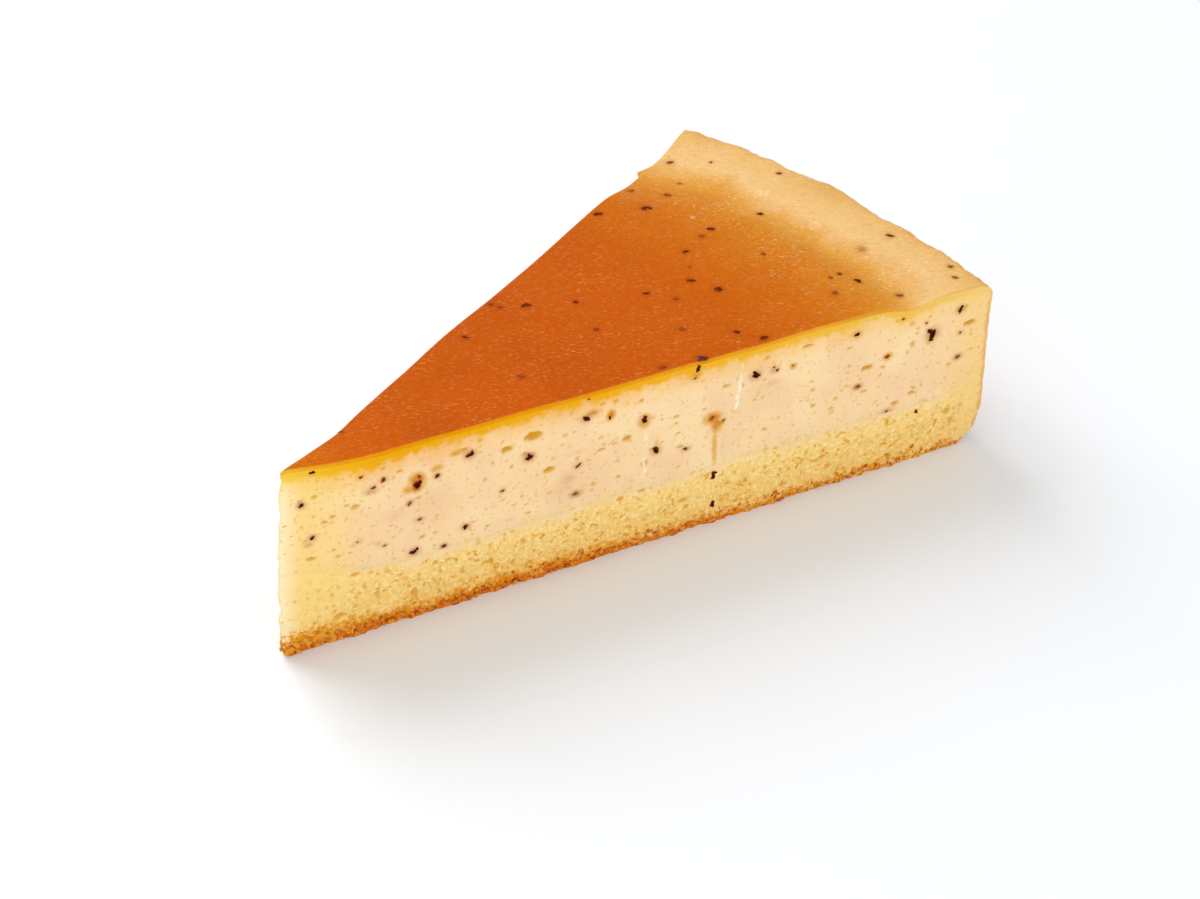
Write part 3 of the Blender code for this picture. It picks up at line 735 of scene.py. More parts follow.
def chips(places, lengths, thick, seed, width=LEAF_WIDTH, ragged=RAGGED, sectors=11, rings=CHIP_RINGS):
    """Points, faces and edge shares of ragged chips on a surface, at places with outward and long directions.

    The outline is a ring of radius 1 plus four random cosine waves, stretched to length and width. The rings in
    CHIP_RINGS follow it inwards and up or down, and a pole closes each side.
    """
    middles, outs, alongs = places
    draw = np.random.default_rng(seed)
    count = len(middles)
    turn = np.linspace(0, 2 * np.pi, sectors, endpoint=False)
    waves = np.arange(2, 6)[:, None]
    phases = draw.uniform(0, 2 * np.pi, (count, 4, 1))
    sizes = ragged * draw.uniform(0.3, 1, (count, 4, 1)) / waves**0.5
    outline = 1 + (sizes * np.cos(waves * turn + phases)).sum(axis=1)
    share, rise_by = np.array(rings).T[:, :, None]
    half = (np.asarray(lengths) / 2)[:, None, None]
    width = width * draw.uniform(0.65, 1.15, (count, 1, 1))
    radius = outline[:, None, :] * share
    crumple = draw.normal(0, 0.14, (count, len(rings), sectors))
    x = half * radius * np.cos(turn)
    y = half * width * radius * np.sin(turn)
    z = thick * (rise_by + crumple * (share < 1))
    corners = np.stack([x, y, z], axis=-1).reshape(count, -1, 3)
    poles = np.zeros((count, 2, 3))
    poles[:, 0, 2], poles[:, 1, 2] = thick, -thick
    local = np.concatenate([corners, poles], axis=1)
    axes = np.stack([alongs, np.cross(outs, alongs), outs], axis=1)
    points = middles[:, None, :] + local @ axes

    ring = np.arange(sectors)
    after = (ring + 1) % sectors
    starts = np.arange(len(rings) - 1)[:, None] * sectors
    quads = np.stack([starts + ring, starts + after, starts + after + sectors, starts + ring + sectors], -1)
    last = (len(rings) - 1) * sectors
    top_pole = len(rings) * sectors
    fans = (
        np.stack([after, ring, 0 * ring + top_pole], -1),
        np.stack([last + ring, last + after, 0 * ring + top_pole + 1], -1),
    )
    offsets = (np.arange(count) * (top_pole + 2))[:, None, None]
    faces = (quads.reshape(1, -1, 4) + offsets).reshape(-1, 4).tolist()
    for fan in fans:
        faces += (fan[None] + offsets).reshape(-1, 3).tolist()
    edge = np.concatenate([np.repeat(share[:, 0], sectors), [0, 0]])
    return points.reshape(-1, 3), faces, np.tile(edge, count)


# %% [markdown]
# ## Where the flecks lie
# A chip needs a place, the direction out of the surface, and one along it. On a cut the two directions are the same
# everywhere, and in the skin the second turns with the angle. The back cut's flecks are drawn at random.

# %% Flecks in the cuts and in the skin
def cut_places(reach, height, front):
    """Points on a cut at a reach and height, with the outward direction and the direction along the cut."""
    side = -1 if front else 1
    distance = reach - apex(height) * math.cos(HALF_ANGLE)
    angle = side * HALF_ANGLE
    xyz = np.stack([apex(height) + distance * math.cos(angle), distance * math.sin(angle), height], axis=-1)
    out = FRONT_OUT if front else BACK_OUT
    xyz = xyz + cut_wave(xyz, distance)[:, None] * out
    along = np.array([math.cos(angle), math.sin(angle), 0])
    return xyz, np.tile(out, (len(xyz), 1)), np.tile(along, (len(xyz), 1))


def top_places(reach, degrees):
    """Points on the skin at a reach and an angle, with the outward direction and the one away from the axis."""
    angle = np.radians(degrees)
    along = np.stack([np.cos(angle), np.sin(angle), 0 * angle], axis=-1)
    height = top_height(reach, 0.5 + 0.5 * angle / HALF_ANGLE)
    return along * reach[:, None] + height[:, None] * UP, np.tile(UP, (len(reach), 1)), along


def turned(outs, alongs, degrees):
    """The directions along the surface, turned about its outward direction."""
    turn = np.radians(degrees)[:, None]
    return alongs * np.cos(turn) + np.cross(outs, alongs) * np.sin(turn)


def all_flecks():
    """Places, directions, lengths, darkness and wetness of every fleck.

    Those on the unseen back cut are drawn at random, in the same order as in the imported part.
    """
    draw = random.Random(LEAF_SEED)
    for _ in range(TURNS_DRAWN):
        draw.random()
    hidden = []
    for number in range(BACK_LEAVES):
        share = (number + draw.random()) / BACK_LEAVES
        reach = np.array([BACK_LEAF_START + (BACK_LEAF_END - BACK_LEAF_START) * share])
        low, high = layer_height(reach, 1)[0] + LEAF_CLEAR, top_height(reach, 1)[0] - LEAF_CLEAR
        height = draw.uniform(low, high)
        hidden.append((reach[0], height, draw.uniform(*LEAF_LENGTHS), math.degrees(draw.uniform(0, math.pi))))
    jitter = np.random.default_rng(LEAF_SEED)
    groups = []
    cut_leaves = (
        (FRONT_LEAVES, True, 1.0), (MILD_LEAVES, True, 0.65), (FAINT_LEAVES, True, 0.3), (SPONGE_LEAVES, True, 1.0),
        (hidden, False, 1.0),
    )
    for leaves, front, dark in cut_leaves:
        reach, height, length, turn = np.array(leaves).T
        xyz, outs, alongs = cut_places(reach, height, front)
        groups.append((xyz, outs, turned(outs, alongs, turn), length, 0 * length + dark, 0 * length))
    for leaves, dark, wet in ((TOP_LEAVES, 0.85, 0), (WET_LEAVES, 0.9, 0.4), (FAINT_TOP_LEAVES, 0.35, 0)):
        reach, angle, length = np.array(leaves).T
        xyz, outs, alongs = top_places(reach, angle)
        turn = LEAF_LIE - angle + jitter.uniform(-LEAF_STRAY, LEAF_STRAY, len(angle))
        groups.append((xyz, outs, turned(outs, alongs, turn), length, 0 * length + dark, 0 * length + wet))
    return [np.concatenate(column) for column in zip(*groups)]


# A longer fleck is a small clump: two shorter chips lie against it, at random shares of its length aside.
CLUMP_FROM, CLUMP_ASIDE = 1.6, 0.42
CHIP_SHARE, EXTRA_SHARE = 0.8, 0.4
xyz, outs, alongs, lengths, dark, wet = all_flecks()
long_ones = np.repeat(np.flatnonzero(lengths >= CLUMP_FROM), 2)
clump_draw = np.random.default_rng(41)
shift = clump_draw.uniform(-CLUMP_ASIDE, CLUMP_ASIDE, (len(long_ones), 2)) * lengths[long_ones][:, None]
long_outs, long_alongs = outs[long_ones], alongs[long_ones]
extra_xyz = xyz[long_ones] + shift[:, :1] * long_alongs + 0.5 * shift[:, 1:] * np.cross(long_outs, long_alongs)
extra_alongs = turned(long_outs, long_alongs, clump_draw.uniform(20, 90, len(long_ones)))
chip_places = [np.concatenate(both) for both in ((xyz, extra_xyz), (outs, long_outs), (alongs, extra_alongs))]
chip_lengths = np.concatenate([lengths * CHIP_SHARE, lengths[long_ones] * EXTRA_SHARE])
leaf_points, leaf_faces, leaf_edge = chips(chip_places, chip_lengths, LEAF_THICK, 42)
points_each = len(leaf_points) // len(chip_lengths)
leaf_dark, leaf_wet = [np.repeat(np.concatenate([share, share[long_ones]]), points_each) for share in (dark, wet)]
leaves = make_piece("leaf_flecks", leaf_points, leaf_faces, {"dark": leaf_dark, "wet": leaf_wet, "edge": leaf_edge})

# %% [markdown]
# ## Loose crumbs at the foot
# Where the knife broke through the browned foot, small crumbs stay on the edge. They are the same chips, made
# rounder and thicker, and thrown along the foot of both cuts and of the rim, with more of them near the tip.

# %% Crumbs
CRUMBS_ON_CUT, CRUMBS_ON_RIM = 230, 90
CRUMB_LENGTHS = (0.35, 1.0)
TIP_CRUMBS, TIP_CRUMB_REACH, TIP_CRUMB_GROWTH = 16, (-4.0, 2.5), 1.6
CRUMB_BOTTOM, CRUMB_TOP, CRUMB_END = 0.25, 2.6, 118
CRUMB_THICK, CRUMB_WIDTH, CRUMB_RAGGED = 0.24, 0.85, 0.22
TIP_END = 5.5
CRUMB_RINGS = ((0.75, 0.8), (1.0, -0.1))


def foot_places(draw):
    """Crumb places on the front cut, the back cut and the rim, low on the foot."""
    columns = []
    for front in (True, False):
        reach = CRUMB_END * draw.random(CRUMBS_ON_CUT) ** 1.15
        height = CRUMB_BOTTOM + CRUMB_TOP * draw.random(CRUMBS_ON_CUT) ** 2.2
        columns.append(cut_places(reach, height, front))
        near = draw.uniform(*TIP_CRUMB_REACH, TIP_CRUMBS)
        columns.append(cut_places(near, draw.uniform(0.3, 2.4, TIP_CRUMBS), front))
    angle = draw.uniform(-0.96, 0.96, CRUMBS_ON_RIM) * HALF_ANGLE
    height = CRUMB_BOTTOM + CRUMB_TOP * draw.random(CRUMBS_ON_RIM) ** 2
    inset, height = rounded(0 * angle, height, FOOT_INSET, FOOT_RISE)
    out = np.stack([np.cos(angle), np.sin(angle), 0 * angle], axis=-1)
    distance = wall_radius(height, 0.5 + 0.5 * angle / HALF_ANGLE) - inset
    xyz = out * distance[:, None] + height[:, None] * UP
    columns.append((xyz, out, np.cross(UP, out)))
    return [np.concatenate(column) for column in zip(*columns)]


crumb_draw = np.random.default_rng(51)
crumb_xyz, crumb_out, crumb_along = foot_places(crumb_draw)
crumb_length = crumb_draw.uniform(*CRUMB_LENGTHS, len(crumb_xyz))
at_tip = np.hypot(crumb_xyz[:, 0], crumb_xyz[:, 1]) < TIP_END
crumb_length[at_tip] *= TIP_CRUMB_GROWTH
crumb_along = turned(crumb_out, crumb_along, crumb_draw.uniform(0, 180, len(crumb_xyz)))
crumb_points, crumb_faces, _ = chips(
    (crumb_xyz, crumb_out, crumb_along), crumb_length, CRUMB_THICK, 52, CRUMB_WIDTH, CRUMB_RAGGED, 7, CRUMB_RINGS
)
crumb_points[:, 2] = np.maximum(crumb_points[:, 2], 0)
crumb_dark = crumb_draw.random(len(crumb_xyz)) * np.where(at_tip, 0.55, 1)
crumb_dark = np.repeat(crumb_dark, len(crumb_points) // len(crumb_xyz))
crumbs = make_piece("crust_crumbs", crumb_points, crumb_faces, {"dark": crumb_dark})

# %% [markdown]
# ## Shader maths
# A finish is arithmetic on a few numbers: the ones that each point carries, and noise. Written as nodes by hand it
# is long, so a small class wraps a node's output, and plus, minus and times on it add the Math nodes. step(a, b)
# turns a number into a mask, 0 up to a and 1 from b, and coats() lays colours over each other by their masks.

# %% A class for node outputs
class Wire:
    """An output of a node in a material. Arithmetic on it adds Math nodes, and node() adds any other kind."""

    def __init__(self, tree, socket=None):
        self.tree, self.socket = tree, socket

    def node(self, kind, settings=None, inputs=None, output=0):
        """Adds a node: first its settings, then its inputs by name or number. Returns one of its outputs."""
        node = self.tree.nodes.new(kind)
        for name, value in (settings or {}).items():
            if name == "stops":
                set_stops(node.color_ramp, value)
            else:
                setattr(node, name, value)
        for name, value in (inputs or {}).items():
            if isinstance(value, Wire):
                self.tree.links.new(value.socket, node.inputs[name])
            else:
                node.inputs[name].default_value = value
        return Wire(self.tree, node.outputs[output])

    def math(self, operation, *values):
        return self.node("ShaderNodeMath", {"operation": operation}, dict(enumerate(values)))

    def __add__(self, other):
        return self.math("ADD", self, other)

    def __sub__(self, other):
        return self.math("SUBTRACT", self, other)

    def __rsub__(self, other):
        return self.math("SUBTRACT", other, self)

    def __mul__(self, other):
        return self.math("MULTIPLY", self, other)

    __radd__ = __add__
    __rmul__ = __mul__

    def step(self, start, end):
        """The smooth step from 0 at the start to 1 at the end."""
        inputs = {0: self, 1: start, 2: end}
        return self.node("ShaderNodeMapRange", {"interpolation_type": "SMOOTHSTEP"}, inputs)

    def ramp(self, *stops):
        return self.node("ShaderNodeValToRGB", {"stops": stops}, {0: self})

    def blend(self, first, second):
        """The first colour where this is 0 and the second where it is 1."""
        return self.node("ShaderNodeMix", {"data_type": "RGBA"}, {0: self, 6: first, 7: second}, 2)


# %% [markdown]
# ## Colours and materials
# A finish starts from a colour as a screen shows it, the numbers of the piece, and noise in spots of some size. A
# second small class holds one material and gives these by name, with every size in millimetres.

# %% Colours and materials
def set_stops(ramp, stops):
    """Gives a new ramp its stops, as pairs of a place from 0 to 1 and a colour."""
    while len(ramp.elements) < len(stops):
        ramp.elements.new(0.5)
    for element, (place, colour) in zip(ramp.elements, stops):
        element.position = place
        element.color = colour


def coats(colour, *masks_and_colours):
    """A colour with others laid over it in turn, each where its mask is 1."""
    for mask, coat in masks_and_colours:
        colour = mask.blend(colour, coat)
    return colour


def srgb(red, green, blue):
    """A colour as a screen shows it, 0 to 255, turned into light."""
    parts = [part / 255 for part in (red, green, blue)]
    return (*[part / 12.92 if part <= 0.04045 else ((part + 0.055) / 1.055) ** 2.4 for part in parts], 1)


class Finish:
    """A new material with its Principled shader, and shortcuts for the numbers and noises that it reads."""

    def __init__(self, name, **fixed):
        self.material = bpy.data.materials.new(name)
        self.material.use_nodes = True
        self.tree = self.material.node_tree
        self.shader = self.tree.nodes["Principled BSDF"]
        self.start = Wire(self.tree)
        for socket, value in fixed.items():
            self.shader.inputs[socket.replace("_", " ")].default_value = value
        self.place = self.start.node("ShaderNodeTexCoord", output="Object")

    def own(self, name):
        """A number that each point of the piece carries."""
        return self.start.node("ShaderNodeAttribute", {"attribute_name": name}, output="Fac")

    def grain(self, size, detail=2.0, stretch=1.0, turn=0.0):
        """Noise from 0 to 1 in spots of about this many millimetres, which may be stretched in one direction."""
        place = self.place
        if stretch != 1:
            inputs = {"Vector": place, "Rotation": (0, 0, turn), "Scale": (stretch, 1, 1)}
            place = self.start.node("ShaderNodeMapping", {"vector_type": "TEXTURE"}, inputs)
        inputs = {"Vector": place, "Scale": 1 / (size * MM), "Detail": detail}
        return self.start.node("ShaderNodeTexNoise", inputs=inputs)

    def uneven(self, size, span, detail=2.0):
        """Noise around 0, over this many millimetres in all."""
        return (self.grain(size, detail) - 0.5) * span

    def near_cut(self, width):
        """1 on both cuts and 0 from this many millimetres inwards."""
        return 1 - self.own("front").math("MINIMUM", self.own("front"), self.own("back")).step(0.0, width)

    def set(self, **inputs):
        for name, value in inputs.items():
            self.tree.links.new(value.socket, self.shader.inputs[name.replace("_", " ")])

    def dress(self, piece):
        """Gives a piece this material."""
        piece.data.materials.append(self.material)
        print(f"{self.material.name}: {len(self.tree.nodes)} nodes")

    def bump(self, height, distance):
        """Tilts the surface as if it stood this many millimetres higher where the height is 1."""
        inputs = {"Height": height, "Distance": distance * MM, "Strength": 1.0}
        self.set(Normal=self.start.node("ShaderNodeBump", inputs=inputs))


# %% [markdown]
# ## The baked filling
# Cut filling is cream with a faint pink. Light through the thin tip is painted in as a yellow glow, and a
# whitish painted highlight runs down its sharp edge. Under the skin lies a band of saturated yellow that pales
# towards the rim. Pores and bubbles are a little darker and yellower than the cream, partly their own colour and
# partly painted shade inside them, the knife's raised streaks are pale, partly as a painted highlight, and leaf
# stains are orange-brown. The skin's slab shows the same band at its sides, so one function makes the colour of
# both, and the line between the two pieces disappears.

# %% Filling
CREAM, CREAM_PINK, CREAM_LIGHT = srgb(247, 213, 164), srgb(244, 207, 161), srgb(249, 218, 169)
# Painted light: a yellow glow where light comes through the thin tip, and a whitish highlight on its rounded edge
PAINTED_TIP_GLOW, TIP_EDGE_HIGHLIGHT = srgb(248, 213, 130), srgb(255, 241, 206)
RIM_CREAM = srgb(243, 205, 130)
PORE, BUBBLE = srgb(222, 172, 72), srgb(214, 156, 40)
STAIN_PALE, STAIN, STAIN_DEEP = srgb(229, 182, 102), srgb(214, 132, 44), srgb(142, 56, 24)
SMUDGE, SMUDGE_DEEP = srgb(204, 148, 96), srgb(150, 80, 36)
WALL, WALL_PALE = srgb(216, 152, 68), srgb(232, 178, 100)
WALL_BROWN, WALL_LOW = srgb(188, 112, 42), srgb(176, 98, 34)
RIM_LINE = srgb(222, 168, 100)
RIDGE_PALE = srgb(255, 247, 226)
BAND_STOPS = (
    (0.0, srgb(246, 200, 70)), (0.05, srgb(242, 184, 30)), (0.12, srgb(238, 168, 4)),
    (0.35, srgb(239, 170, 12)), (0.6, srgb(242, 178, 34)), (0.85, srgb(242, 190, 68)),
    (1.0, srgb(243, 202, 116)),
)
# The crumb's cell-wall colour is a painted highlight, and the hollows' deep yellow below is painted shade
CRUMB_PALE, CRUMB_LOW, CELL_WALL_HIGHLIGHT = srgb(244, 206, 123), srgb(240, 194, 104), srgb(254, 234, 174)
HOLLOW_SHADE_YELLOW = srgb(217, 150, 16)


def cream_colour(f):
    """Cut filling: cream with broad pinker and lighter clouds."""
    return coats(CREAM, (f.grain(9).step(0.4, 0.62), CREAM_PINK), (f.grain(14).step(0.5, 0.64), CREAM_LIGHT))


def crumb_colour(f):
    """Cut sponge: pale cell walls that are painted highlights, golden hollows that are partly painted shade, and
    deeper yellow towards the foot.
    """
    return coats(
        CRUMB_LOW,
        ((f.own("foot") + f.uneven(4, 4)).step(3, 9.5), CRUMB_PALE),
        # Painted highlights on the cell walls, and painted shade in scattered golden pits
        (f.grain(0.6, 3).step(0.46, 0.66) * 0.6, CELL_WALL_HIGHLIGHT),
        (f.grain(1.0).step(0.54, 0.66) * f.grain(3.2, 1).step(0.38, 0.6) * 0.9, HOLLOW_SHADE_YELLOW),
    )


def baked_colour(f):
    """Both layers: sponge below the line where they meet, filling above it, and a blotchy passage between.

    The thin tip has a painted yellow glow of light through it in both, its sharp edge a painted whitish highlight,
    and the rim is yellower again.
    """
    reach, rim = f.own("reach"), f.own("rim")
    lift = f.uneven(4.5, 5.5, 3) + f.uneven(1.0, 2.2)
    return coats(
        cream_colour(f),
        (1 - (f.own("seam") - lift).step(-2.4, 1.7), crumb_colour(f)),
        # Painted glow of light through the thin tip, and a painted highlight along its sharp edge
        ((1 - (reach + f.uneven(7, 6)).step(2, 17)) * 0.85, PAINTED_TIP_GLOW),
        ((1 - reach.step(-1.2, 3.6)) * 0.8, TIP_EDGE_HIGHLIGHT),
        ((1 - rim.step(1, 12)) * 0.8, RIM_CREAM),
        ((1 - (rim + f.uneven(1.6, 1.6)).step(0.1, 1.1)) * 0.8, RIM_LINE),
    )


def wall_colour(f):
    """Rim: matte golden tan in clouds, with pale and brown mottles and a darker foot, across both layers."""
    return coats(
        WALL,
        (f.grain(7, 3).step(0.38, 0.66) * 0.6, WALL_PALE),
        (f.grain(3, 4).step(0.44, 0.72) * 0.4, WALL_BROWN),
        (f.grain(0.8, 3).step(0.5, 0.7) * 0.4, WALL_PALE),
        ((1 - (f.own("foot") + f.uneven(5, 9, 3)).step(1, 12)) * 0.55, WALL_LOW),
    )


def on_wall(f):
    """1 on the rim and 0 on the cuts."""
    return (1 - f.own("rim").step(0.0, 0.4)) * (1 - f.near_cut(0.8))


def cheese_colour(f):
    """The filling: both layers' colour with its pores, streaks, stains and the yellow band under the skin."""
    hollow, reach = f.own("hollow"), f.own("reach")
    smudged = f.own("smudge") * (0.6 + f.grain(0.7, 3) * 0.8)
    stained = f.own("stain") * (0.7 + f.grain(0.9).step(0.3, 0.7) * 0.45)
    band = (reach * (1 / CAKE_RADIUS)).ramp(*BAND_STOPS)
    below = f.own("depth") + f.uneven(2.6, 3.4, 3) + f.uneven(0.8, 1.8)
    below = below - 0.5 * (1 - reach.step(8, 32)) + 0.9 * (1 - reach.step(0, 9))
    return coats(
        baked_colour(f),
        # Pores and bubbles painted darker and yellower: partly their own colour, partly painted shade inside them
        (hollow.step(0.05, 0.6), PORE),
        (hollow.step(0.55, 0.9), BUBBLE),
        (f.grain(0.7, 1).step(0.62, 0.72) * 0.35, PORE),
        (smudged.step(0.0, 0.75) * 0.85, SMUDGE),
        (smudged.step(0.45, 0.85) * 0.8, SMUDGE_DEEP),
        # The knife's raised streaks painted pale: partly their own colour, partly a painted highlight along the
        # ridge
        (f.own("ridge").step(0.0, 0.9), RIDGE_PALE),
        (stained.step(0.05, 0.4), STAIN_PALE),
        (stained.step(0.3, 0.8), STAIN),
        (stained.step(0.8, 1.25) * 0.8, STAIN_DEEP),
        ((1 - below.step(1.6, 5.8)) * 0.42, band),
        (1 - below.step(0.8, 2.3), band),
        (on_wall(f), wall_colour(f)),
    )


cheese = Finish(
    "baked cheese", Specular_IOR_Level=0.16, Subsurface_Weight=0.3, Subsurface_Radius=(1.0, 0.55, 0.25),
    Subsurface_Scale=1.2 * MM, IOR=1.42,
)
cheese.set(Base_Color=cheese_colour(cheese), Roughness=0.42 + cheese.grain(0.7) * 0.22)
cheese.bump(cheese.grain(0.45, 3) + cheese.grain(1.3) * 0.8, 0.07)
cheese.dress(filling)

# %% [markdown]
# ## The browned skin
# The skin is orange-brown over most of the slice and turns golden tan at the rim, where the cake rose less and
# browned less; the palest stretch just inside the rim is partly painted sheen. Fine wrinkles break the sheen into
# short pale dashes, which are painted highlights, with painted shade along the wrinkles, and the blisters' rings
# get a painted glint. A fleck in the skin has a dark reddish halo.

# %% Skin
# Orange-brown to golden tan by reach, as it browned; the palest stops just inside the rim are partly painted sheen
SKIN_STOPS = (
    (0.0, srgb(206, 114, 4)), (0.09, srgb(197, 92, 0)), (0.18, srgb(191, 84, 0)), (0.45, srgb(190, 83, 0)),
    (0.64, srgb(191, 88, 0)), (0.74, srgb(196, 101, 5)), (0.79, srgb(200, 113, 14)),
    (0.845, srgb(206, 131, 30)), (0.88, srgb(216, 153, 62)), (0.915, srgb(229, 187, 124)),
    (0.955, srgb(225, 180, 110)), (1.0, srgb(214, 160, 86)),
)
SKIN_SHADE, SKIN_WARM = srgb(178, 76, 0), srgb(197, 84, 0)
FLECK_HALO = srgb(132, 38, 8)
SKIN_GLINT, RIM_GLINT = srgb(244, 176, 112), srgb(255, 242, 214)
# The painted highlights, short pale dashes, and the painted shade along the wrinkles lie across the direction from
# which the light comes
DASH_TURN = math.radians(-42)

brown = Finish(
    "browned skin", Specular_IOR_Level=0.03, Subsurface_Weight=0.1, Subsurface_Radius=(1.0, 0.4, 0.15),
    Subsurface_Scale=0.8 * MM, IOR=1.45,
)
reach_share = brown.own("reach") * (1 / CAKE_RADIUS)
at_rim = brown.own("reach").step(84, 106)
in_middle = 1 - brown.own("reach").step(62, 92)
leather = brown.grain(0.55, 3, stretch=2.6, turn=DASH_TURN)
dashes = brown.grain(0.22, 2, stretch=3.4, turn=DASH_TURN)
skin_colour = coats(
    (reach_share + brown.uneven(12, 0.09, 3)).ramp(*SKIN_STOPS),
    (brown.grain(17).step(0.48, 0.62) * in_middle * 0.4, SKIN_SHADE),
    (brown.grain(13).step(0.5, 0.66) * in_middle * 0.4, SKIN_WARM),
    # Painted shade along the stretched wrinkles, painted highlights as pale dashes, and a painted glint on the
    # blisters' rings
    (leather.step(0.48, 0.72) * (1 - at_rim * 0.5) * 0.34, SKIN_SHADE),
    (dashes.step(0.56, 0.72) * (0.22 + brown.grain(5).step(0.4, 0.65) * 0.22), at_rim.blend(SKIN_GLINT, RIM_GLINT)),
    (brown.own("ridge") * 0.22, RIM_GLINT),
    ((1 - brown.own("front").step(0.1, 0.9)) * (1 - at_rim * 0.6) * 0.7, reach_share.ramp(*BAND_STOPS)),
    (brown.own("smudge") * 0.62, FLECK_HALO),
    ((brown.own("depth") + brown.uneven(1.5, 0.2)).step(0.0, 0.5), cheese_colour(brown)),
)
brown.set(Base_Color=skin_colour, Roughness=0.34 + brown.grain(0.8) * 0.2)
brown.bump(dashes + leather * 1.5 + brown.grain(1.6, 2) * 1.2, 0.1)
brown.dress(skin)

# %% [markdown]
# ## The sponge
# Sponge is a foam of egg and flour: pale cell walls around darker hollows, the pale painted as highlights and
# the dark partly as shade. It is deeper yellow towards the foot, where the tin browned it to orange-brown with
# dark specks. The brown climbs higher at the tip.

# %% Sponge
CRUST_GOLD, CRUST_ORANGE, CRUST_DARK = srgb(230, 158, 28), srgb(214, 116, 10), srgb(190, 78, 6)
CRUST_SPECK, SPECK_HIGH = srgb(134, 48, 8), srgb(186, 116, 30)

crumb = Finish(
    "golden sponge", Specular_IOR_Level=0.2, Subsurface_Weight=0.12, Subsurface_Radius=(1.0, 0.55, 0.25),
    Subsurface_Scale=1.0 * MM, IOR=1.4,
)
foot, reach = crumb.own("foot"), crumb.own("reach")
climb = 1.4 * (1 - reach.step(4, 16)) + 0.65 * (1 - reach.step(38, 62)) - 0.5 * reach.step(60, 95)
crust_height = foot - (climb - 0.6 * reach.step(98, 114)) + crumb.uneven(3.0, 3.6, 3) + crumb.uneven(0.7, 8, 3)
crust = 1 - crust_height.step(0.6, 3.2)
low_foot = foot - 0.9 * (1 - reach.step(4, 20)) + crumb.uneven(1.4, 3)
orange = (1 - low_foot.step(0.5, 2.8)) * (1 - reach.step(60, 100) * 0.65)
charred = crumb.grain(1.2, 3).step(0.47, 0.68) * orange * 0.8
specks = crumb.grain(0.6, 1).step(0.56, 0.66) * (1 - crust_height.step(1.2, 3.8))
sponge_colour = coats(
    baked_colour(crumb),
    # Painted shade, deep yellow, in the crumb's real hollows
    (crumb.own("hollow").step(0.1, 0.95) * 0.75, HOLLOW_SHADE_YELLOW),
    (crust * (0.75 + crumb.grain(0.6) * 0.5), coats(CRUST_GOLD, (orange, CRUST_ORANGE), (charred, CRUST_DARK))),
    (specks * 0.75, (foot + crumb.uneven(2, 4)).step(1.4, 3.0).blend(CRUST_SPECK, SPECK_HIGH)),
    (on_wall(crumb) * (1 - crust), wall_colour(crumb)),
)
crumb.set(Base_Color=sponge_colour, Roughness=0.62 + crumb.grain(0.9) * 0.25)
open_crumb = 1 - (crumb.own("seam") + crumb.uneven(3, 3)).step(-6, 0) * 0.7
crumb.bump((crumb.grain(0.5, 4) + crumb.grain(1.1, 2)) * open_crumb, 0.2)
crumb.dress(sponge)

# %% [markdown]
# ## Flecks and crumbs
# Damp leaf is nearly black in the middle and reddish brown at its thin edge, and one wet fleck shines, which a
# clear coat gives. A fleck that lies under the surface is paler. Each crumb has one of the browned foot's colours.

# %% Finish of flecks and crumbs
LEAF_BLACK, LEAF_BROWN, LEAF_FAINT = srgb(48, 8, 3), srgb(128, 44, 12), srgb(170, 84, 30)
CRUMB_TAN, CRUMB_SPOT = srgb(216, 148, 52), srgb(228, 164, 74)

leaf = Finish("damp leaf", Specular_IOR_Level=0.03, Coat_Roughness=0.08)
leaf_edge = (leaf.own("edge") + leaf.uneven(0.5, 0.9)).step(0.4, 1.05)
leaf_colour = coats(LEAF_BLACK, (leaf_edge, LEAF_BROWN), (1 - leaf.own("dark"), LEAF_FAINT))
leaf.set(Base_Color=leaf_colour, Roughness=0.35 + leaf.grain(0.4) * 0.4, Coat_Weight=leaf.own("wet"))
leaf.bump(leaf.grain(0.3, 3), 0.08)
leaf.dress(leaves)

bits = Finish("browned crumbs", Specular_IOR_Level=0.2)
own_colour = bits.own("dark").ramp((0.0, CRUMB_TAN), (0.4, CRUST_GOLD), (0.75, CRUST_ORANGE), (1.0, CRUST_DARK))
bits_colour = coats(own_colour, (bits.grain(0.5, 3).step(0.45, 0.7) * 0.35, CRUMB_SPOT))
bits.set(Base_Color=bits_colour, Roughness=0.6 + bits.grain(0.5) * 0.3)
bits.bump(bits.grain(0.35, 3), 0.12)
bits.dress(crumbs)

# %% [markdown]
# ## What each piece stands for
# Every piece rides on the one body of the slice. Filling, skin and flecks stand for the imported filling, and sponge
# and crumbs for the imported sponge.

# %% Bodies and imported solids
for piece, nodes, slot in (
    (filling, ["cheesecake_filling"], "filling"),
    (skin, ["cheesecake_filling"], "skin"),
    (sponge, ["sponge_base"], "sponge"),
    (leaves, ["cheesecake_filling", "sponge_base"], "leaf"),
    (crumbs, ["sponge_base"], "sponge"),
):
    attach(piece, "root")
    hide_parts(*nodes)

# %% [markdown]
# ## Floor
# A plain white floor fills the view. It is one large square, and the slice stands on it as it does in its frame.

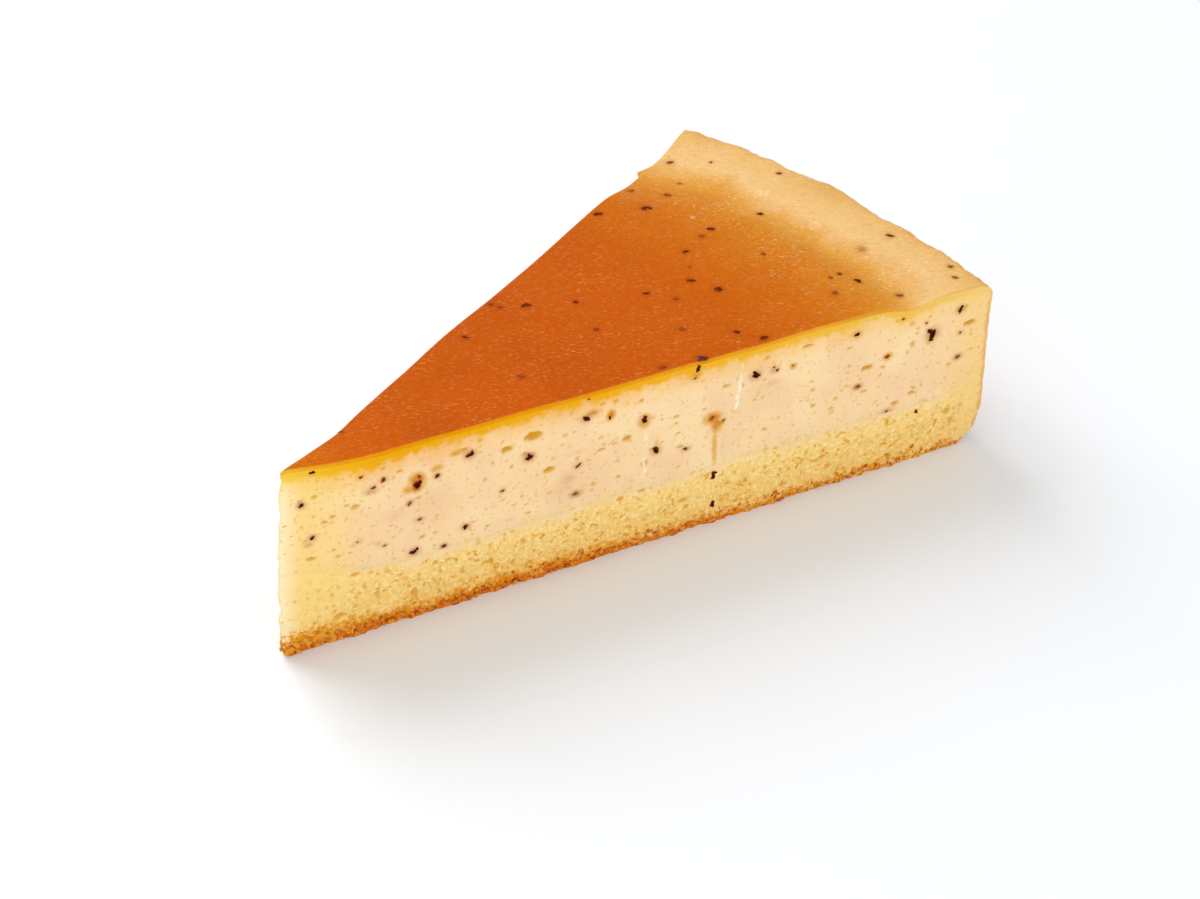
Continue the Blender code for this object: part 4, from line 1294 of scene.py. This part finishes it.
# %% Floor
FLOOR_HALF = 3.0
corners = [(x * FLOOR_HALF, y * FLOOR_HALF, 0) for x, y in ((-1, -1), (1, -1), (1, 1), (-1, 1))]
floor_data = bpy.data.meshes.new("floor")
floor_data.from_pydata(corners, [], [(0, 1, 2, 3)])
floor = placed("floor", floor_data)
glaze = Finish("white floor", Roughness=0.5)
glaze.set(Base_Color=glaze.grain(40).blend(srgb(236, 239, 243), srgb(239, 242, 246)))
glaze.dress(floor)

# %% [markdown]
# ## Light
# A large soft light from behind gives the skin its sheen and the tip some glow, both of which the colours add to
# with painted highlights and a painted glow, and white light from the front keeps the cut bright. The world's even
# white does most of that.

# %% Lights
WORLD_STRENGTH = 0.66

world = bpy.data.worlds.new("white room")
world.use_nodes = True
world.node_tree.nodes["Background"].inputs["Color"].default_value = (1.0, 1.0, 1.0, 1)
world.node_tree.nodes["Background"].inputs["Strength"].default_value = WORLD_STRENGTH
bpy.context.scene.world = world


def soft_light(name, place, aim, size, power, colour=(1, 1, 1)):
    """A square soft light at a place, turned to what it lights."""
    data = bpy.data.lights.new(name, "AREA")
    data.shape = "SQUARE"
    data.size = size
    data.energy = power
    data.color = colour
    light = placed(name, data)
    light.location = place
    light.rotation_euler = (Vector(aim) - Vector(place)).to_track_quat("-Z", "Y").to_euler()


soft_light("back softbox", (-0.02, 0.8, 0.75), (0, 0, 0.02), 0.8, 8.5, (1.0, 0.99, 0.97))
soft_light("front bounce", (-0.25, -0.9, 0.45), (0, 0, 0.01), 0.9, 3.8)
print("lights:", [light.name for light in bpy.data.lights])

# %% [markdown]
# ## Camera
# The camera looks down on the front cut from the tip's side, about 31 cm away. Its place was solved from corners of
# the slice, so that the outline falls where it should. The plain view transform keeps the colours as they are.

# %% Camera
EYE = Vector((-0.15537, -0.17491, 0.20003))
LOOKS_AT = Vector((0.00650, 0.00439, 0.0))
camera_data = bpy.data.cameras.new("camera")
camera_data.lens = 54.0
camera_data.sensor_width = 36.0
camera_data.clip_start = 0.01
camera = placed("camera", camera_data)
camera.location = EYE
camera.rotation_euler = (LOOKS_AT - EYE).to_track_quat("-Z", "Y").to_euler()
bpy.context.scene.camera = camera
bpy.context.scene.view_settings.view_transform = "Standard"
print("camera distance in mm:", round((LOOKS_AT - EYE).length / MM))
